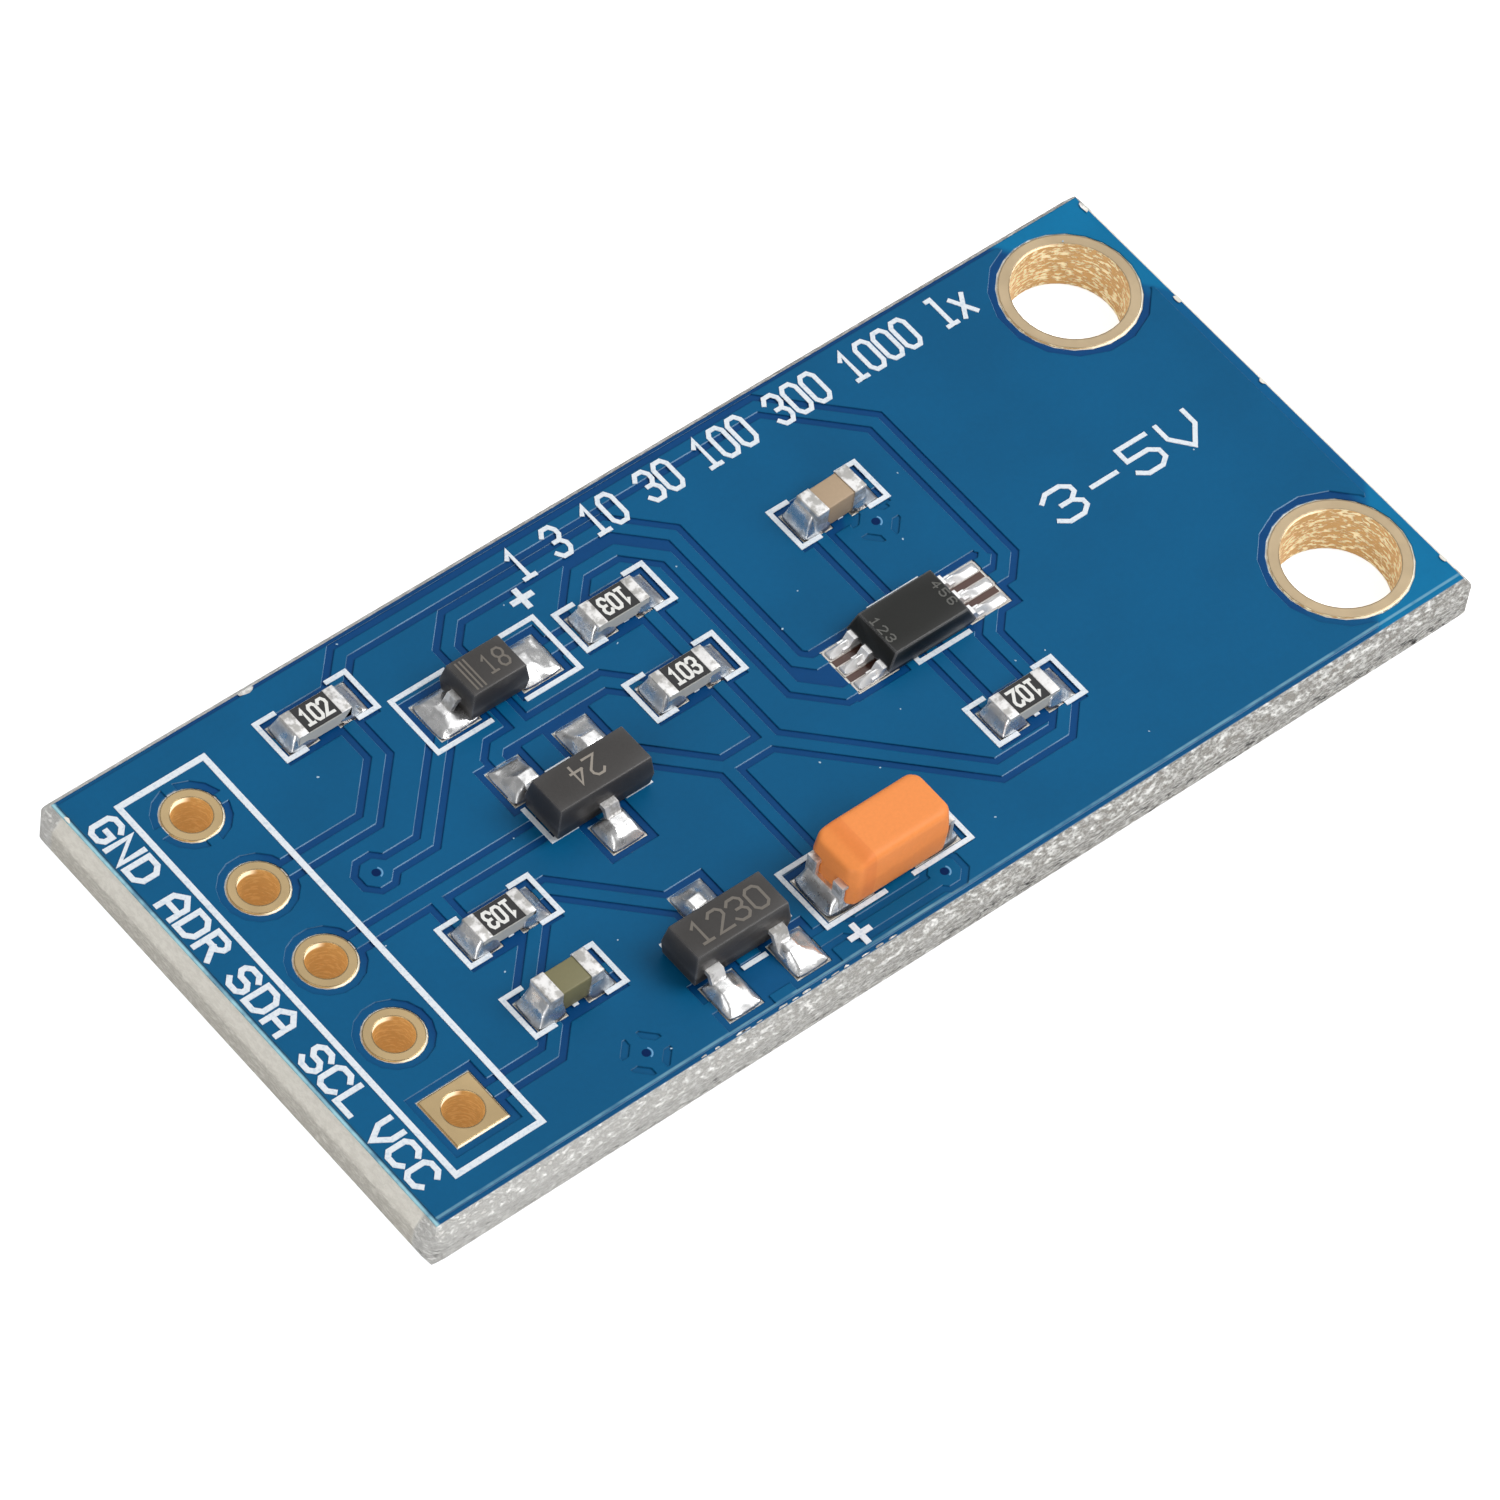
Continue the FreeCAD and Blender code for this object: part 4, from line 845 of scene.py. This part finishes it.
def add_part_codes():
    """Value numbers on the resistors, plain numbers and bars on the cases, pin numbers on the sensor."""
    for name, text, heading in zip(RESISTORS, ("102", "103", "103", "103", "102"), (0, 180, 0, 180, 180)):
        lasered(name + "_code", text, name + "_coat", (0, 0), (0.82, 0.56), heading, LASER_WHITE, 0.085, 1.6)
    lasered("regulator_code", "1230", "regulator_case", (0, 0), (2.15, 0.7), 0, LASER_FAINT, 0.075, 1.6)
    lasered("transistor_code", "24", "transistor_case", (-0.12, 0.05), (0.86, 0.62), 180, LASER_GREY,
            0.065, 2.0)
    lasered("diode_code", "18", "diode_case", (0.26, 0), (0.68, 0.6), 0, LASER_FAINT, 0.06, 2.0)
    low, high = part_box("sensor_case")
    reach = (high[0] - low[0]) / 2 / MM - 0.42
    for side, text, along in (("left", "123", -reach), ("right", "456", reach)):
        lasered("sensor_pins_" + side, text, "sensor_case", (along, 0), (0.8, 0.26), -90, LASER_DIM,
                0.04, 3.0)
    u, v, z = top_middle("diode_case")
    bars = [[(u + du, v - 0.46), (u + du + 0.05, v - 0.46), (u + du + 0.05, v + 0.46), (u + du, v + 0.46)]
            for du in (-0.62, -0.5, -0.38)]
    flat_patches("diode_bars", bars, z, LASER_THICKNESS, LASER_FAINT)


def add_edge_chips():
    """Spots along the board's rim where the mask has flaked off the laminate."""
    rng = random.Random(4)
    spots = [(5.7, HALF_WIDTH - 0.05, 0.24, 0.1), (0.04, 6.65, 0.06, 0.14), (31.64, 6.85, 0.09, 0.2),
             (31.64, 3.3, 0.09, 0.16), (31.66, 0.15, 0.06, 0.12), (31.66, -6.5, 0.07, 0.14)]
    for k in range(14):
        spots.append((8 + 0.42 * k + rng.uniform(-0.2, 0.2), -HALF_WIDTH + 0.01, rng.uniform(0.08, 0.2),
                      rng.uniform(0.02, 0.05)))
    for k in range(12):
        spots.append((rng.uniform(0.5, 31), HALF_WIDTH, rng.uniform(0.05, 0.14), rng.uniform(0.015, 0.03)))
    patches = []
    for u, v, length, width in spots:
        outline = ragged_disc(rng, u, v, length, width)
        patches.append([(min(max(a, 0.0), 2 * HALF_LENGTH), min(max(b, -HALF_WIDTH), HALF_WIDTH))
                        for a, b in outline])
    flat_patches("edge_chips", patches, Z_TOP - 0.01, 0.012, MATERIALS["laminate"])


def add_dust():
    """Specks of dust, some where they lie in the photo and the rest anywhere on the mask."""
    rng = random.Random(11)
    spots = [(8.29, 7.0), (18.0, -2.27), (15.43, -2.35), (16.5, -3.3), (21.17, -2.78), (21.95, -2.96),
             (22.5, 3.18), (18.24, 1.85), (16.33, 4.1), (12.24, 5.6), (13.74, 3.15)]
    spots += [(rng.uniform(3, 31), rng.uniform(-6.8, 6.8)) for _ in range(14)]
    scattered_discs("dust", spots, 6, 0.03, 0.006, (0.6, 0.45, 1.0), (1.35, 0.95, 1.0), math.tau,
                    DUST)


def add_via_dimples():
    """Dimples where the mask sags over the filled vias, drawn as dark discs of painted shade, each with a
    painted highlight arc on its far side.
    """
    places = [((low[0] + high[0]) / 2 + HALF_LENGTH, (low[1] + high[1]) / 2)
              for low, high in islands("filled_vias")]
    turns = [math.radians(turn) for turn in range(-80, 41, 15)]
    arcs = [[(u + 0.17 * math.cos(a), v + 0.17 * math.sin(a)) for a in turns]
            + [(u + 0.13 * math.cos(a), v + 0.13 * math.sin(a)) for a in turns[::-1]] for u, v in places]
    # Painted shade: a dark disc in each dimple.
    scattered_discs("via_dimple_shade", places, 16, 0.11, 0.002, SAME_SIZE, SAME_SIZE, 0.0,
                    DIMPLE_SHADE_BLUE)
    # Painted highlight: a pale arc on each rim's far side.
    flat_patches("via_rim_highlights", arcs, Z_TOP, 0.002, RIM_HIGHLIGHT_BLUE)


# The studio

CAMERA_AT = Vector((-99.89, -92.42, 183.19)) * MM
CAMERA_FORWARD = Vector((0.4356, 0.4044, -0.8042))
CAMERA_UP = Vector((0.4714, 0.6586, 0.5865))
CAMERA_LENS = 230.0
CAMERA_SENSOR = 36.0
FLOOR_HALF = 1.5
FLOOR_DROP = 0.02
FLOOR_GLOW = 0.75
WORLD_STRENGTH = 0.3
LAMPS = (("key", (0.55, -0.35, 0.76), 0.4, 0.26, 1.15),
         ("fill", (-0.85, -0.45, 0.42), 0.5, 0.4, 0.95),
         ("top", (0.4, 0.45, 0.8), 0.5, 0.4, 0.45))


def add_camera():
    """Camera at the photo's viewing angle."""
    data = bpy.data.cameras.new("camera")
    data.lens = CAMERA_LENS
    data.sensor_width = CAMERA_SENSOR
    data.sensor_fit = "HORIZONTAL"
    data.clip_start = 0.01
    camera = bpy.data.objects.new("camera", data)
    bpy.context.scene.collection.objects.link(camera)
    back = -CAMERA_FORWARD.normalized()
    right = CAMERA_UP.cross(back).normalized()
    turn = Matrix((right, back.cross(right), back)).transposed().to_4x4()
    camera.matrix_world = Matrix.Translation(CAMERA_AT) @ turn
    bpy.context.scene.camera = camera


def add_lamp(name, towards, distance, size, power):
    """Square lamp in one direction from the object, facing it."""
    data = bpy.data.lights.new(name, "AREA")
    data.size = size
    data.energy = power
    lamp = bpy.data.objects.new(name, data)
    bpy.context.scene.collection.objects.link(lamp)
    direction = Vector(towards).normalized()
    lamp.location = direction * distance
    lamp.rotation_euler = direction.to_track_quat("Z", "Y").to_euler()


def add_floor():
    """Pale floor just under the board, lifted to white where the camera sees it without a shadow."""
    material, tree, shader = new_material("pale_floor")
    seen = tree.node("ShaderNodeLightPath").outputs["Is Camera Ray"]
    tree.fill(shader, {"Base Color": [0.86, 0.86, 0.86, 1], "Roughness": 0.9, "Specular IOR Level": 0.0,
                       "Emission Color": [1, 1, 1, 1], "Emission Strength": tree.times(seen, FLOOR_GLOW)})
    mesh = bpy.data.meshes.new("floor")
    corners = ((-FLOOR_HALF, -FLOOR_HALF), (FLOOR_HALF, -FLOOR_HALF), (FLOOR_HALF, FLOOR_HALF),
               (-FLOOR_HALF, FLOOR_HALF))
    mesh.from_pydata([(x, y, -FLOOR_DROP * MM) for x, y in corners], [], [(0, 1, 2, 3)])
    mesh.materials.append(material)
    floor = bpy.data.objects.new("floor", mesh)
    bpy.context.scene.collection.objects.link(floor)


def add_world():
    """Even white light from all round."""
    world = bpy.data.worlds.new("studio")
    world.use_nodes = True
    background = world.node_tree.nodes["Background"]
    background.inputs["Color"].default_value = (1, 1, 1, 1)
    background.inputs["Strength"].default_value = WORLD_STRENGTH
    bpy.context.scene.world = world


bpy.context.scene.view_settings.view_transform = "Standard"
dress_nodes()
add_solder()
add_soft_cases()
add_flux_and_shade()
add_print()
add_part_codes()
add_edge_chips()
add_dust()
add_via_dimples()
add_floor()
add_world()
for lamp in LAMPS:
    add_lamp(*lamp)
add_camera()
